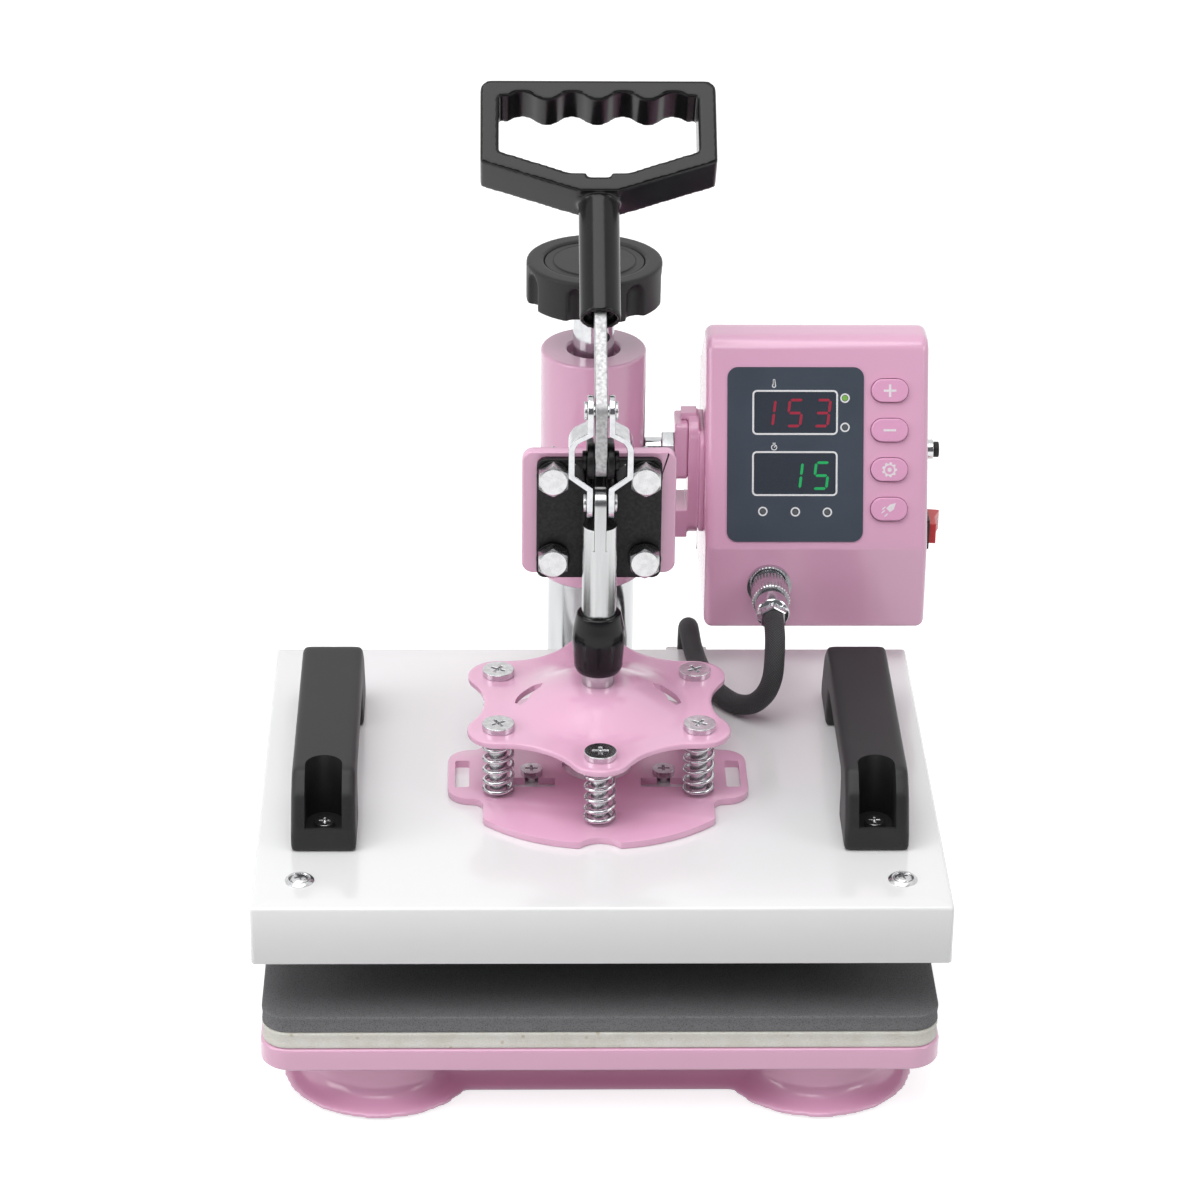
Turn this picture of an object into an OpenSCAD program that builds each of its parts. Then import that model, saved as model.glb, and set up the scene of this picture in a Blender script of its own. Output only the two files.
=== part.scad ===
// Swing-away heat press: a base with a padded lower platen, a post, and a carriage that swings on it.
// The carriage holds the toggle lever, the plunger with the heating platen, and the control box.
// Origin on the post's axis at the table, +X to the viewer's right, +Y to the back, +Z up, millimetres.

/* [Base] */
// Distance from the post's axis to the plunger's axis
reach = 150; // [146:1:170]
// Half the distance between the front feet
foot_x = 98; // [80:1:105]
// Distance of the front feet ahead of the plunger's axis
foot_ahead = 75; // [65:1:80]
// Radius of a front foot's flange
foot_flange_r = 44; // [42:1:48]
// Radius of a front foot's upright wall
foot_wall_r = 31; // [26:1:33]
// Radius of the rear foot's flange
rear_flange_r = 52; // [50:1:58]
// Radius of the rear foot's upright wall
rear_wall_r = 36; // [34:1:40]
// Half width of a beam's upright wall
beam_half = 12; // [10:1:15]
// Half width of a beam's flange
beam_flange_half = 21; // [20:1:25]
// Height of the base casting's top
base_h = 27.5; // [26:0.5:34]
// Thickness of the flange round the base
flange_t = 2.5; // [2.5:0.5:4]
// Radius of the fillet between the flange and the walls
base_fillet = 8; // [5:1:9]
// Thickness of the rubber feet
rubber_t = 4; // [3:0.5:5]

/* [Lower platen] */
// Width of the tray
tray_w = 300; // [280:1:320]
// Depth of the tray
tray_d = 240; // [220:1:244]
// Thickness of the tray
tray_t = 11; // [9:0.5:14]
// Corner radius of the tray and the pads
tray_corner = 14; // [8:1:20]
// Thickness of the felt pad
felt_t = 8.5; // [5:0.5:12]
// Thickness of the silicone sponge pad
silicone_t = 8; // [5:0.5:12]
// Step from the tray's edge to the pads' edges
pad_step = 1; // [0.5:0.5:4]

/* [Heating platen] */
// Open gap between the pad and the heat plate
press_gap = 28; // [28:1:40]
// Width of the platen cover
cover_w = 304; // [296:1:320]
// Depth of the platen cover
cover_d = 244; // [236:1:244]
// Height of the platen cover
cover_h = 28; // [24:1:34]
// Thickness of the cover's sheet
sheet_t = 1.2; // [0.8:0.1:2]
// How far the heat plate stands below the cover
plate_proud = 1; // [0.5:0.5:3]
// Thickness of the heat plate
plate_t = 14; // [10:1:16]
// Thickness of the platen bracket
bracket_t = 3.5; // [3:0.5:5]
// Half width of the bracket between its ears
bracket_half_w = 52; // [51:1:55]
// Radius of the bracket's round front and back
bracket_r = 72; // [70:1:75]
// Half width of the bracket across its ears
bracket_ear_half = 68; // [68:1:74]
// Radius of the spring bolts' circle
spring_circle_r = 52; // [48:1:54]
// Free length of a float spring
spring_len = 29.5; // [27:0.5:34]
// Outer diameter of a float spring
spring_od = 14.6; // [13.5:0.1:15]
// Diameter of the spring wire
spring_wire = 2; // [1.6:0.1:2.2]
// Turns of a float spring
spring_turns = 6; // [5:1:7]
// Diameter of the sleeve on a spring bolt
sleeve_bolt_d = 8; // [7:0.1:8.4]
// Thickness of the star plate
star_t = 3; // [2.5:0.5:4]
// Height of the star plate's dome
dome_rise = 10; // [8:0.2:11]
// Radius of a star lobe
lobe_r = 14; // [13:0.5:15]

/* [Side handles] */
// Distance of a side handle's middle from the cover's edge
handle_in = 30; // [22:1:40]
// Length of a side handle
handle_len = 148; // [146:1:156]
// Width of a side handle's feet
handle_w = 29; // [26:1:32]
// Height of a side handle
handle_h = 34; // [30:1:40]

/* [Post and sleeve] */
// Diameter of the post
post_d = 42; // [40:0.5:42]
// Outer diameter of the swing sleeve
sleeve_d = 50; // [49:0.5:54]
// Length of the swing sleeve
sleeve_len = 116; // [112:1:122]
// Diameter of the lead screw
screw_d = 16; // [14:0.5:16]
// Diameter of the pressure knob
knob_d = 64; // [56:1:70]
// Height of the pressure knob
knob_h = 20; // [17:1:26]
// Diameter of the chrome collar under the knob
collar_d = 19.5; // [18:0.5:22]

/* [Toggle] */
// Diameter of the plunger rod
rod_d = 15.5; // [14:0.1:15.6]
// Length of the guide barrel
guide_len = 28.8; // [26:0.4:31.2]
// Distance from the plunger's axis back to the mount plate
mount_back = 20; // [19:0.5:24]
// Width of the mount plate
mount_w = 69; // [64:1:76]
// Height of the mount plate
mount_h = 60; // [57:1:66]
// Thickness of the mount plate
mount_t = 6; // [5:0.5:8]
// Height of the lever's pivot above the mount plate's lower edge
pivot_up = 65; // [64:0.5:67]
// Height of the links' upper rivet above the lever's pivot
crank_r = 24; // [23.5:0.5:25.5]
// Distance from the pivot down to the link's lower rivet
drop_r = 20.4; // [20:0.2:21]
// Thickness of the lever bar
lever_t = 5.5; // [5:0.5:6]
// Thickness of a toggle link
link_t = 2.7; // [2.5:0.1:3]
// Width of a toggle link
link_w = 14; // [12:0.5:14]
// Backward lean of the raised lever in degrees
back_lean = 52; // [48:1:56]

/* [Grip] */
// Width of the D grip
grip_w = 106.5; // [104:0.5:112]
// Depth of the D grip, front to back
grip_depth = 23; // [18:1:26]
// Width of the grip's side bars
grip_bar = 8.4; // [7:0.2:10]
// Distance along the lever from the links' upper rivet to the grip's lower end
grip_from = 45.5; // [43:0.5:48]
// Distance along the lever from the links' upper rivet to the grip's top
grip_to = 163; // [159:0.5:167]
// Diameter of the grip's stem
stem_d = 18.5; // [17:0.5:20]

/* [Control box] */
// Width of the control box
box_w = 105.5; // [104:0.5:120]
// Height of the control box's upright lower face
box_lower_h = 42; // [38:1:50]
// Length of the tilted panel face
box_face_len = 96; // [92:1:104]
// Backward tilt of the panel face in degrees
box_tilt = 22; // [16:1:26]
// Depth of the control box at its foot
box_d = 85; // [82:1:96]
// Wall thickness of the control box
box_wall = 2.5; // [2:0.1:3]
// Gap from the sleeve to the control box
box_gap = 28; // [27:0.5:32]
// Width of the panel overlay
panel_w = 64.5; // [60:0.5:66]
// Height of the panel overlay
panel_h = 82.6; // [80:0.2:84]
// Length of a push button
button_len = 17.5; // [15:0.5:18]
// Width of a push button
button_w = 11; // [9:0.5:12]
// Spacing of the push buttons
button_pitch = 18.7; // [17.6:0.1:19.4]
// Diameter of the heater cord
cord_d = 9.5; // [8:0.1:9.6]

/* [Hidden] */
$fn = 48;

pink = "#e2aacd";
dark = "#26262a";
zinc = "#c9ccd0";
chrome = "#dfe2e6";

// Clearances: a running fit on radius, a seated face, a loose gap between parts, a bolt in its hole
run_fit = 0.05;
seat = 0.02;
loose = 0.3;
bolt_gap = 0.15;

// Heights, from the table up
base_z0 = 1.5;
flange_top = base_z0 + flange_t;
tray_top = base_h + tray_t;
felt_top = tray_top + felt_t;
pad_top = felt_top + silicone_t;
plate_z = pad_top + press_gap;
cover_z = plate_z + plate_proud;
cover_top = cover_z + cover_h;
bracket_top = cover_top + bracket_t;
star_z = bracket_top + spring_len;
dome_top = star_z + star_t + dome_rise;
collar_nut_h = 6.4;
guide_z = dome_top + collar_nut_h + loose;
guide_top = guide_z + guide_len;
mount_z = guide_top + 9.5;
pivot_z = mount_z + pivot_up;
crank_z = pivot_z + crank_r;
drop_z = pivot_z - drop_r;
sleeve_top = mount_z + 55;
sleeve_z = sleeve_top - sleeve_len;

// Distances along Y
mount_y = -reach + mount_back;
base_plate_t = 4;
toggle_front = mount_y - base_plate_t;

// Post, nut and lead screw
post_r = post_d / 2;
post_floor = 12;
bolt_recess = 8;
post_bore_r = post_r - 6;
cap_t = 10;
thrust_t = 6;
thrust_r = screw_d / 2 + 7;
screw_flange_t = 4;
screw_flange_r = screw_d / 2 + 5;
cap_bottom = sleeve_top - cap_t;
flange_z = cap_bottom - thrust_t - screw_flange_t;
nut_flange_t = 4;
nut_len = 20;
nut_rest_gap = 9;
post_top = flange_z - nut_rest_gap - nut_flange_t;
screw_bottom = post_top - nut_len - 15;
spindle_d = 10;
cap_ledge = 4;
cap_hole_d = screw_d + 1;
cap_well_d = collar_d + 5.5;
shoulder_z = cap_bottom + cap_ledge;
collar_top = sleeve_top + 18;
knob_neck_h = 7;
knob_neck_d = 25;
knob_z = collar_top + knob_neck_h;
knob_top = knob_z + knob_h;
knob_well = 3;
cap_inset = 8.5;
cap_rim = 4;
knob_cap_d = knob_d - 2 * cap_inset;
knob_flutes = 7;
sleeve_bore_r = post_r + 1.5;

// Six spring bolts, counted from the front
spring_angles = [for (i = [0:5]) -90 + 60 * i];
spring_r = (spring_od - spring_wire) / 2;

// Scallops of the star plate: circles that touch both neighbouring lobes
star_waist = spring_circle_r - 0.5;
half_pitch = spring_circle_r / 2;
mid_r = spring_circle_r * cos(30);
scallop_r = (half_pitch * half_pitch + pow(star_waist - mid_r, 2) - lobe_r * lobe_r)
    / (2 * (lobe_r - star_waist + mid_r));
scallop_at = star_waist + scallop_r;

// Control box: its left side, foot and profile
box_x0 = sleeve_d / 2 + box_gap;
box_x1 = box_x0 + box_w;
box_z0 = sleeve_z - 10;
box_front = -45;
box_back = box_front + box_d;
crease_z = box_z0 + box_lower_h;
face_top_y = box_front + box_face_len * sin(box_tilt);
face_top_z = crease_z + box_face_len * cos(box_tilt);
box_profile = [[box_front, box_z0], [box_back, box_z0], [box_back, face_top_z - 27],
    [face_top_y + 21, face_top_z + 3], [face_top_y + 5, face_top_z + 3], [face_top_y, face_top_z],
    [box_front, crease_z]];
panel_x = box_x0 + 10;
panel_w0 = 3.2;
panel_t = 0.6;
button_x = panel_x + panel_w + 12.3;
button_w0 = 18.7;
window_x = panel_x + 11.8;
window_w = 40.5;
window_h = 21.2;
window_rows = [24.9, 53.8];
button_travel = 1;
board_drop = 9;
rear_cover_t = 2.5;
rear_cover_h = face_top_z - 27 - box_z0;

// Plug on the lower face
plug_x = box_x0 + 30.6;
plug_z = box_z0 + 23;
plug_len = 37;
cover_back = -reach + cover_d / 2;
gland_x = 47;
gland_y = cover_back + 18;
gland_top = cover_top - 12;
gland_h = 16;
gland_bore = 11;

// Route of the heater cord, chosen by hand: out of the plug, over the cover, down into the gland
plug_mouth = [plug_x, box_front - plug_len, plug_z];
gland_mouth = [gland_x, gland_y, gland_top];
cord_drop = [[0, 0, 0], [0, -6, 0], [-0.1, -15, -2.5], [-0.6, -22, -9], [-1.6, -25, -18],
    [-4.6, -23.5, -27], [-10.1, -19, -34.5]];
cord_run = [[19.5, -84.5, 17.2], [13, -76, 17.1], [8.5, -66, 17.1], [5.5, -55, 17.1], [3, -43, 17.6],
    [1, -31, 19.8], [0.2, -20, 21.6], [0, -11.5, 20.2], [0, -4.5, 15.5], [0, -0.8, 9], [0, 0, 2],
    [0, 0, -5.5]];
cord_route = concat([for (p = cord_drop) plug_mouth + p], [for (p = cord_run) gland_mouth + p]);

// Small helpers

module rod(d, h, z = 0) {
    translate([0, 0, z]) cylinder(d = d, h = h);
}

module tube(d, bore, h, z = 0) {
    difference() {
        rod(d, h, z);
        rod(bore, h + 2, z - 1);
    }
}

// A rectangle about the origin with round corners
module round_rect(w, d, r) {
    square([w - 2 * r, d], center = true);
    square([w, d - 2 * r], center = true);
    for (sx = [-1, 1], sy = [-1, 1])
        translate([sx * (w / 2 - r), sy * (d / 2 - r)]) circle(r);
}

module slab(w, d, r, t, z) {
    translate([0, 0, z]) linear_extrude(t) round_rect(w, d, r);
}

module slot_2d(length, width) {
    square([length - width, width], center = true);
    for (s = [-1, 1]) translate([s * (length - width) / 2, 0]) circle(d = width);
}

module at_plunger() {
    translate([0, -reach, 0]) children();
}

// A profile drawn in Y and Z, extruded along X about the middle
module across_x(width) {
    translate([-width / 2, 0, 0]) rotate([90, 0, 90]) linear_extrude(width) children();
}

module along_x(d, x0, x1) {
    translate([x0, 0, 0]) rotate([0, 90, 0]) cylinder(d = d, h = x1 - x0);
}

module along_y(d, y0, y1) {
    translate([0, y1, 0]) rotate([90, 0, 0]) cylinder(d = d, h = y1 - y0);
}

module hex_prism(across_flats, h) {
    cylinder(d = across_flats / cos(30), h = h, $fn = 6);
}

// Cross recess of a screw head whose top is at z = 0
module cross_recess(size, depth) {
    for (a = [0, 90])
        rotate([0, 0, a]) translate([-size / 2, -size / 10, -depth]) cube([size, size / 5, depth + 1]);
}

// Base

foot_places = [[-foot_x, -reach - foot_ahead], [foot_x, -reach - foot_ahead]];
front_pad_r = foot_wall_r - 11;
rear_pad_in = 18;
rear_pad_out = 30;
platen_bolt_places = concat(foot_places, [[0, -reach], [0, -reach + 75]]);
platen_bolt_d = 6;
platen_head_d = 12;
platen_head_h = 4;
platen_head_sunk = 0.5;
platen_bolt_z = 10;
post_bolt_r = 6;
post_head_t = 5.5;
post_plug = 14;

module foot_section(wall, flange) {
    translate([0, base_z0]) square([flange, flange_t]);
    translate([0, base_z0]) square([wall, base_h - base_z0]);
    difference() {
        translate([wall, flange_top]) square(base_fillet);
        translate([wall + base_fillet, flange_top + base_fillet]) circle(base_fillet);
    }
}

module beam_section() {
    foot_section(beam_half, beam_flange_half);
    mirror([1, 0]) foot_section(beam_half, beam_flange_half);
}

module base_casting() {
    recess_w = 20;
    recess_h = 8;
    color(pink) difference() {
        union() {
            for (p = foot_places)
                translate([p.x, p.y, 0]) rotate_extrude() foot_section(foot_wall_r, foot_flange_r);
            rotate_extrude() foot_section(rear_wall_r, rear_flange_r);
            translate([0, foot_places[0].y, 0]) across_x(2 * foot_x) beam_section();
            rotate([90, 0, 0]) linear_extrude(reach + foot_ahead) beam_section();
        }
        rod(post_d + 2 * seat, base_h, post_floor);
        rod(2 * post_bolt_r + 2 * bolt_gap, base_h);
        rod(28, bolt_recess - base_z0 + 1, base_z0 - 1);
        for (p = foot_places)
            translate([p.x, p.y, 0]) rod(2 * front_pad_r + 2 * seat, rubber_t - base_z0 + 1, base_z0 - 1);
        difference() {
            rod(2 * rear_pad_out + 2 * seat, rubber_t - base_z0 + 1, base_z0 - 1);
            rod(2 * rear_pad_in - 2 * seat, rubber_t + 2, base_z0 - 2);
        }
        for (p = platen_bolt_places)
            translate([p.x, p.y, 0]) rod(platen_bolt_d + 2 * bolt_gap, base_h, platen_bolt_z - 1);
        translate([-recess_w / 2, foot_places[0].y - beam_half - 1, base_h - recess_h])
            cube([recess_w, 7, recess_h - 3]);
    }
}

module rubber_feet() {
    color("#303033") {
        for (p = foot_places) translate([p.x, p.y, 0]) rod(2 * front_pad_r, rubber_t);
        tube(2 * rear_pad_out, 2 * rear_pad_in, rubber_t);
    }
}

module lower_platen() {
    color(pink) difference() {
        at_plunger() slab(tray_w, tray_d, tray_corner, tray_t, base_h);
        for (p = platen_bolt_places) translate([p.x, p.y, 0]) {
            rod(platen_bolt_d + 2 * bolt_gap, tray_t + 2, base_h - 1);
            rod(platen_head_d + 2 * loose, platen_head_h + 2, tray_top - platen_head_h - platen_head_sunk);
        }
    }
}

// Four bolts that hold the tray, and the bolt that holds the post from below
module base_bolts() {
    head_z = tray_top - platen_head_h - platen_head_sunk;
    color(zinc) {
        for (p = platen_bolt_places) translate([p.x, p.y, 0]) difference() {
            union() {
                rod(platen_head_d, platen_head_h, head_z);
                rod(platen_bolt_d, head_z - platen_bolt_z, platen_bolt_z);
            }
            translate([0, 0, head_z + 1]) hex_prism(5, platen_head_h);
        }
        translate([0, 0, bolt_recess - post_head_t]) hex_prism(18, post_head_t);
        rod(2 * post_bolt_r, post_floor + post_plug + 4 - bolt_recess, bolt_recess);
    }
}

module felt_pad() {
    color("#efe9da") at_plunger()
        slab(tray_w - 2 * pad_step, tray_d - 2 * pad_step, tray_corner - pad_step, felt_t, tray_top);
}

module silicone_pad() {
    color("#6f6f74") at_plunger()
        slab(tray_w - 2 * pad_step, tray_d - 2 * pad_step, tray_corner - pad_step, silicone_t, felt_top);
}

// Post and height screw

module post() {
    color(chrome) difference() {
        rod(post_d, post_top - post_floor, post_floor);
        rod(2 * post_bore_r, post_top, post_floor + post_plug);
        rod(2 * post_bolt_r + 2 * bolt_gap, post_top, 0);
    }
}

module post_nut() {
    color("#c9a24a") difference() {
        union() {
            rod(2 * post_bore_r - 2 * seat, nut_len, post_top - nut_len);
            rod(post_d - 2, nut_flange_t, post_top);
        }
        rod(screw_d + 2 * run_fit, nut_len + nut_flange_t + 2, post_top - nut_len - 1);
    }
}

// Two races with a narrower ring of balls between them
module thrust_bearing() {
    race = thrust_t / 3;
    low = flange_z + screw_flange_t + seat;
    high = low + thrust_t - 2 * seat;
    inner = screw_d / 2 + loose;
    color(zinc) rotate_extrude() polygon([[inner, low], [thrust_r, low], [thrust_r, low + race],
        [thrust_r - 1, low + race], [thrust_r - 1, high - race], [thrust_r, high - race], [thrust_r, high],
        [inner, high]]);
}

module lead_screw() {
    color(zinc) {
        rod(screw_d, shoulder_z - screw_bottom, screw_bottom);
        rod(2 * screw_flange_r, screw_flange_t, flange_z);
        rod(spindle_d, knob_top - 5 - shoulder_z, shoulder_z);
    }
}

set_screw_d = 5;
set_screw_z = sleeve_top + 9;
set_screw_turn = -62;

module knob_collar() {
    color(chrome) difference() {
        rod(collar_d, collar_top - shoulder_z - 0.2, shoulder_z + 0.2);
        rod(spindle_d + 2 * seat, collar_top, shoulder_z - 1);
        translate([0, 0, set_screw_z]) rotate([0, 0, set_screw_turn])
            along_x(set_screw_d + 2 * seat, 0, collar_d);
    }
}

module set_screw() {
    tip = spindle_d / 2 + seat;
    color(dark) translate([0, 0, set_screw_z]) rotate([0, 0, set_screw_turn]) difference() {
        along_x(set_screw_d, tip, collar_d / 2 + 1.5);
        translate([collar_d / 2 - 1, 0, 0]) rotate([0, 90, 0]) hex_prism(2.5, 4);
    }
}

module pressure_knob() {
    flute_r = 5.5;
    flute_out = 1.5;
    flute_end = knob_top - 2.5 - flute_r;
    color(dark) difference() {
        union() {
            rod(knob_neck_d, knob_neck_h + 1, collar_top);
            difference() {
                rod(knob_d, knob_h, knob_z);
                for (i = [0:knob_flutes - 1]) rotate([0, 0, -54 + i * 360 / knob_flutes])
                    translate([knob_d / 2 + flute_out, 0, 0]) {
                        rod(2 * flute_r, flute_end - knob_z + 1, knob_z - 1);
                        translate([0, 0, flute_end]) sphere(flute_r);
                    }
            }
        }
        rod(spindle_d + 2 * seat, knob_top, collar_top - 1);
        rod(knob_cap_d + 2 * loose, knob_well + 1, knob_top - knob_well);
    }
}

module knob_cap() {
    color("#38383c") {
        rod(knob_cap_d, knob_well - 0.9, knob_top - knob_well);
        rod(knob_cap_d - 2 * cap_rim, knob_well - 0.4, knob_top - knob_well);
    }
}

// Carriage

module swing_sleeve() {
    color(pink) difference() {
        rod(sleeve_d, sleeve_len, sleeve_z);
        rod(2 * sleeve_bore_r, sleeve_len - cap_t, sleeve_z);
        rod(2 * sleeve_bore_r, 2, sleeve_z - 1);
        rod(cap_hole_d, cap_t + 2, cap_bottom - 1);
        rod(cap_well_d, cap_t, shoulder_z);
        translate([0, 0, bracket_bolt_z]) along_x(bracket_tip_d + 2 * bolt_gap, 0, sleeve_d);
    }
}

module sleeve_bushes() {
    bush_len = 25;
    color("#b08d4a") for (z = [sleeve_z, post_top - bush_len - 5])
        tube(2 * sleeve_bore_r - 2 * seat, post_d + 2 * run_fit, bush_len, z);
}

arm_w = 24;
arm_h = 50;

module arm() {
    front = mount_y + mount_t;
    color(pink) difference() {
        across_x(arm_w) polygon([[front, mount_z + 3], [front, mount_z + 3 + arm_h],
            [-10, sleeve_top - 54], [-10, sleeve_top - 54 - arm_h]]);
        rod(sleeve_d, sleeve_len + 2, sleeve_z - 1);
    }
}

bolt_d = 8;
bolt_half_x = 20.6;
bolt_low = 9.7;
bolt_rise = 40.5;
bolt_rows = [mount_z + bolt_low, mount_z + bolt_low + bolt_rise];
washer_t = 1.6;
washer_d = 15;
hex_head_t = 5.5;
hex_nut_t = 6.5;
hex_af = 13;

module at_toggle_bolts() {
    for (sx = [-1, 1], z = bolt_rows) translate([sx * bolt_half_x, 0, z]) children();
}

module mount_plate() {
    color(pink) difference() {
        translate([0, mount_y + mount_t, mount_z + mount_h / 2]) rotate([90, 0, 0])
            linear_extrude(mount_t) round_rect(mount_w, mount_h, 5);
        at_toggle_bolts() along_y(bolt_d + 2 * bolt_gap, mount_y - 1, mount_y + mount_t + 1);
    }
}

base_plate_half = 28;
base_plate_z = mount_z - 0.5;
base_plate_h = 58.5;
pivot_d = 8;
ear_gap = lever_t / 2 + 0.1;
ear_t = 3.2;
ear_r = 8;
pin_head_t = 2;
pin_head_d = 9;

module toggle_base() {
    corner = 4;
    top = base_plate_z + base_plate_h;
    ear_root = base_plate_z + 27.5;
    color(dark) difference() {
        union() {
            translate([0, mount_y, base_plate_z + base_plate_h / 2]) rotate([90, 0, 0])
                linear_extrude(base_plate_t) round_rect(2 * base_plate_half, base_plate_h, corner);
            for (s = [-1, 1]) translate([s * (ear_gap + ear_t / 2), 0, 0]) across_x(ear_t) {
                translate([-reach, pivot_z]) circle(ear_r);
                polygon([[-reach, pivot_z - ear_r], [-reach, pivot_z + ear_r], [toggle_front, pivot_z + 4],
                    [mount_y, top - 2], [mount_y, ear_root], [toggle_front - 2, ear_root],
                    [toggle_front - 4, pivot_z - ear_r]]);
            }
        }
        at_toggle_bolts() along_y(bolt_d + 2 * bolt_gap, mount_y - base_plate_t - 1, mount_y + 1);
        translate([0, -reach, pivot_z]) along_x(pivot_d, -ear_gap - ear_t - 1, ear_gap + ear_t + 1);
    }
}

// Hex bolts with their nuts behind the mount plate
module toggle_bolts() {
    back = mount_y + mount_t;
    color(chrome) at_toggle_bolts() {
        along_y(bolt_d, toggle_front - washer_t, back + hex_nut_t + 2);
        translate([0, toggle_front - washer_t, 0]) rotate([90, 0, 0]) hex_prism(hex_af, hex_head_t);
        translate([0, back + hex_nut_t, 0]) rotate([90, 0, 0]) difference() {
            hex_prism(hex_af, hex_nut_t);
            rod(bolt_d + 2 * seat, hex_nut_t + 2, -1);
        }
    }
}

module toggle_washers() {
    color("#55565a") at_toggle_bolts() translate([0, toggle_front, 0]) rotate([90, 0, 0])
        tube(washer_d, bolt_d + 2 * bolt_gap, washer_t);
}

module pivot_pin() {
    head_x = ear_gap + ear_t;
    color(dark) translate([0, -reach, pivot_z]) {
        along_x(pivot_d, -head_x, head_x);
        for (s = [0, 1]) mirror([s, 0, 0]) along_x(pin_head_d, head_x, head_x + pin_head_t);
    }
}

// Barrel that guides the plunger, on a stem from the toggle base behind the rod
module guide_barrel() {
    mouth_r = rod_d / 2 + 2.1;
    foot_r = rod_d / 2 + 2.2;
    belly_r = rod_d / 2 + 4.3;
    stem_front = -reach + rod_d / 2 + 0.8;
    color("#1c1c1f") difference() {
        union() {
            at_plunger() rotate_extrude()
                polygon([[0, guide_z], [foot_r, guide_z], [foot_r + 1, guide_z + 2.5],
                    [belly_r - 0.6, guide_z + 11], [belly_r, guide_z + 17], [belly_r - 0.4, guide_top - 8],
                    [mouth_r + 0.5, guide_top - 1.5], [mouth_r, guide_top], [0, guide_top]]);
            translate([-6, stem_front, guide_top - 9]) cube([12, toggle_front - stem_front, 27.5]);
        }
        at_plunger() rod(rod_d + 2 * run_fit, guide_len + 30, guide_z - 1);
    }
}

// Bracket that hangs the control box from the sleeve

bracket_bolt_z = mount_z + 3;
bracket_bolt_d = 10;
bracket_tip_d = 8;
block_x0 = box_x0 - 14;
block_t = 6.5;
hanger_x0 = block_x0 + block_t;
hanger_plate_t = 5.2;
block_w = 20;
block_h = 29;
block_up = 1.5;
hanger_w = 24;
hanger_h = 60;
hanger_drop = 12;
hanger_corner = 8;
hanger_flange_w = 40;
hanger_flange_h = 50;
hanger_hook_h = 14;
hanger_lug_w = 8;
hanger_lug_h = 4;

module bracket_bolt() {
    color(chrome) translate([0, 0, bracket_bolt_z]) {
        along_x(bracket_tip_d, sleeve_bore_r + seat, block_x0 + block_t - 1);
        along_x(bracket_bolt_d, sleeve_d / 2 + seat, block_x0);
        translate([block_x0 - 6, 0, 0]) rotate([0, 90, 0]) hex_prism(14, 6);
    }
}

module bracket_block() {
    color(pink) difference() {
        translate([block_x0, 0, bracket_bolt_z + block_up]) rotate([90, 0, 90])
            linear_extrude(block_t) round_rect(block_w, block_h, 3);
        translate([0, 0, bracket_bolt_z]) along_x(bracket_tip_d + 2 * bolt_gap, 0, box_x0);
    }
}

module box_hanger() {
    flange_x = hanger_x0 + hanger_plate_t;
    middle_z = bracket_bolt_z - hanger_drop;
    color(pink) {
        translate([hanger_x0, 0, middle_z]) rotate([90, 0, 90])
            linear_extrude(hanger_plate_t) round_rect(hanger_w, hanger_h, hanger_corner);
        translate([flange_x, 0, middle_z]) rotate([90, 0, 90])
            linear_extrude(box_x0 - flange_x) round_rect(hanger_flange_w, hanger_flange_h, 5);
        translate([block_x0 + 1, -hanger_w / 2, middle_z - hanger_h / 2])
            cube([block_t - 1, hanger_w, hanger_hook_h]);
        translate([block_x0 + 3, -hanger_lug_w / 2, bracket_bolt_z + block_up + block_h / 2 + seat])
            cube([block_t + 1, hanger_lug_w, hanger_lug_h]);
    }
}

// Control box

// Profile moved inwards by d, each corner where the moved sides cross
function inset(p, d) = [for (i = [0:len(p) - 1])
    let (a = p[(i + len(p) - 1) % len(p)], b = p[i], c = p[(i + 1) % len(p)],
        u = (b - a) / norm(b - a), v = (c - b) / norm(c - b), m = [-u.y - v.y, u.x + v.x])
    b + m * d / (1 + u * v)];

// Frame on the tilted face: local X along the box, Y up the face, Z outwards
module on_face(x, w) {
    translate([x, box_front, crease_z]) rotate([90 - box_tilt, 0, 0]) translate([0, w, 0]) children();
}

module box_solid(x0, x1, p) {
    translate([(x0 + x1) / 2, 0, 0]) across_x(x1 - x0) polygon(p);
}

button_rows = [3, 2, 1, 0];
button_flange_t = 1;
button_proud = 2;
button_under = box_wall + loose + button_flange_t;
board_t = 1.6;
rocker_y = -20;
rocker_z = box_z0 + 42;
rocker_w = 11;
rocker_h = 17.5;
bezel_w = 15;
bezel_h = 21;
fuse_z = box_z0 + 74;
fuse_y = -2;
inlet_x = box_x0 + box_w / 2;
inlet_z = box_z0 + 24;
inlet_w = 27;
inlet_h = 20;
cover_screw_in = 6;
cover_screw_places = [for (x = [box_x0 + cover_screw_in, box_x1 - cover_screw_in],
    z = [box_z0 + cover_screw_in, box_z0 + rear_cover_h - cover_screw_in]) [x, z]];
cover_screw_d = 3;

module at_cover_screws() {
    for (p = cover_screw_places) translate([p.x, 0, p.y]) children();
}

module board_posts() {
    for (x = [panel_x + 6, panel_x + panel_w - 6], w = [10, panel_h - 6])
        on_face(x, w) rod(6, board_drop - box_wall + 1, -board_drop);
}

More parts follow.
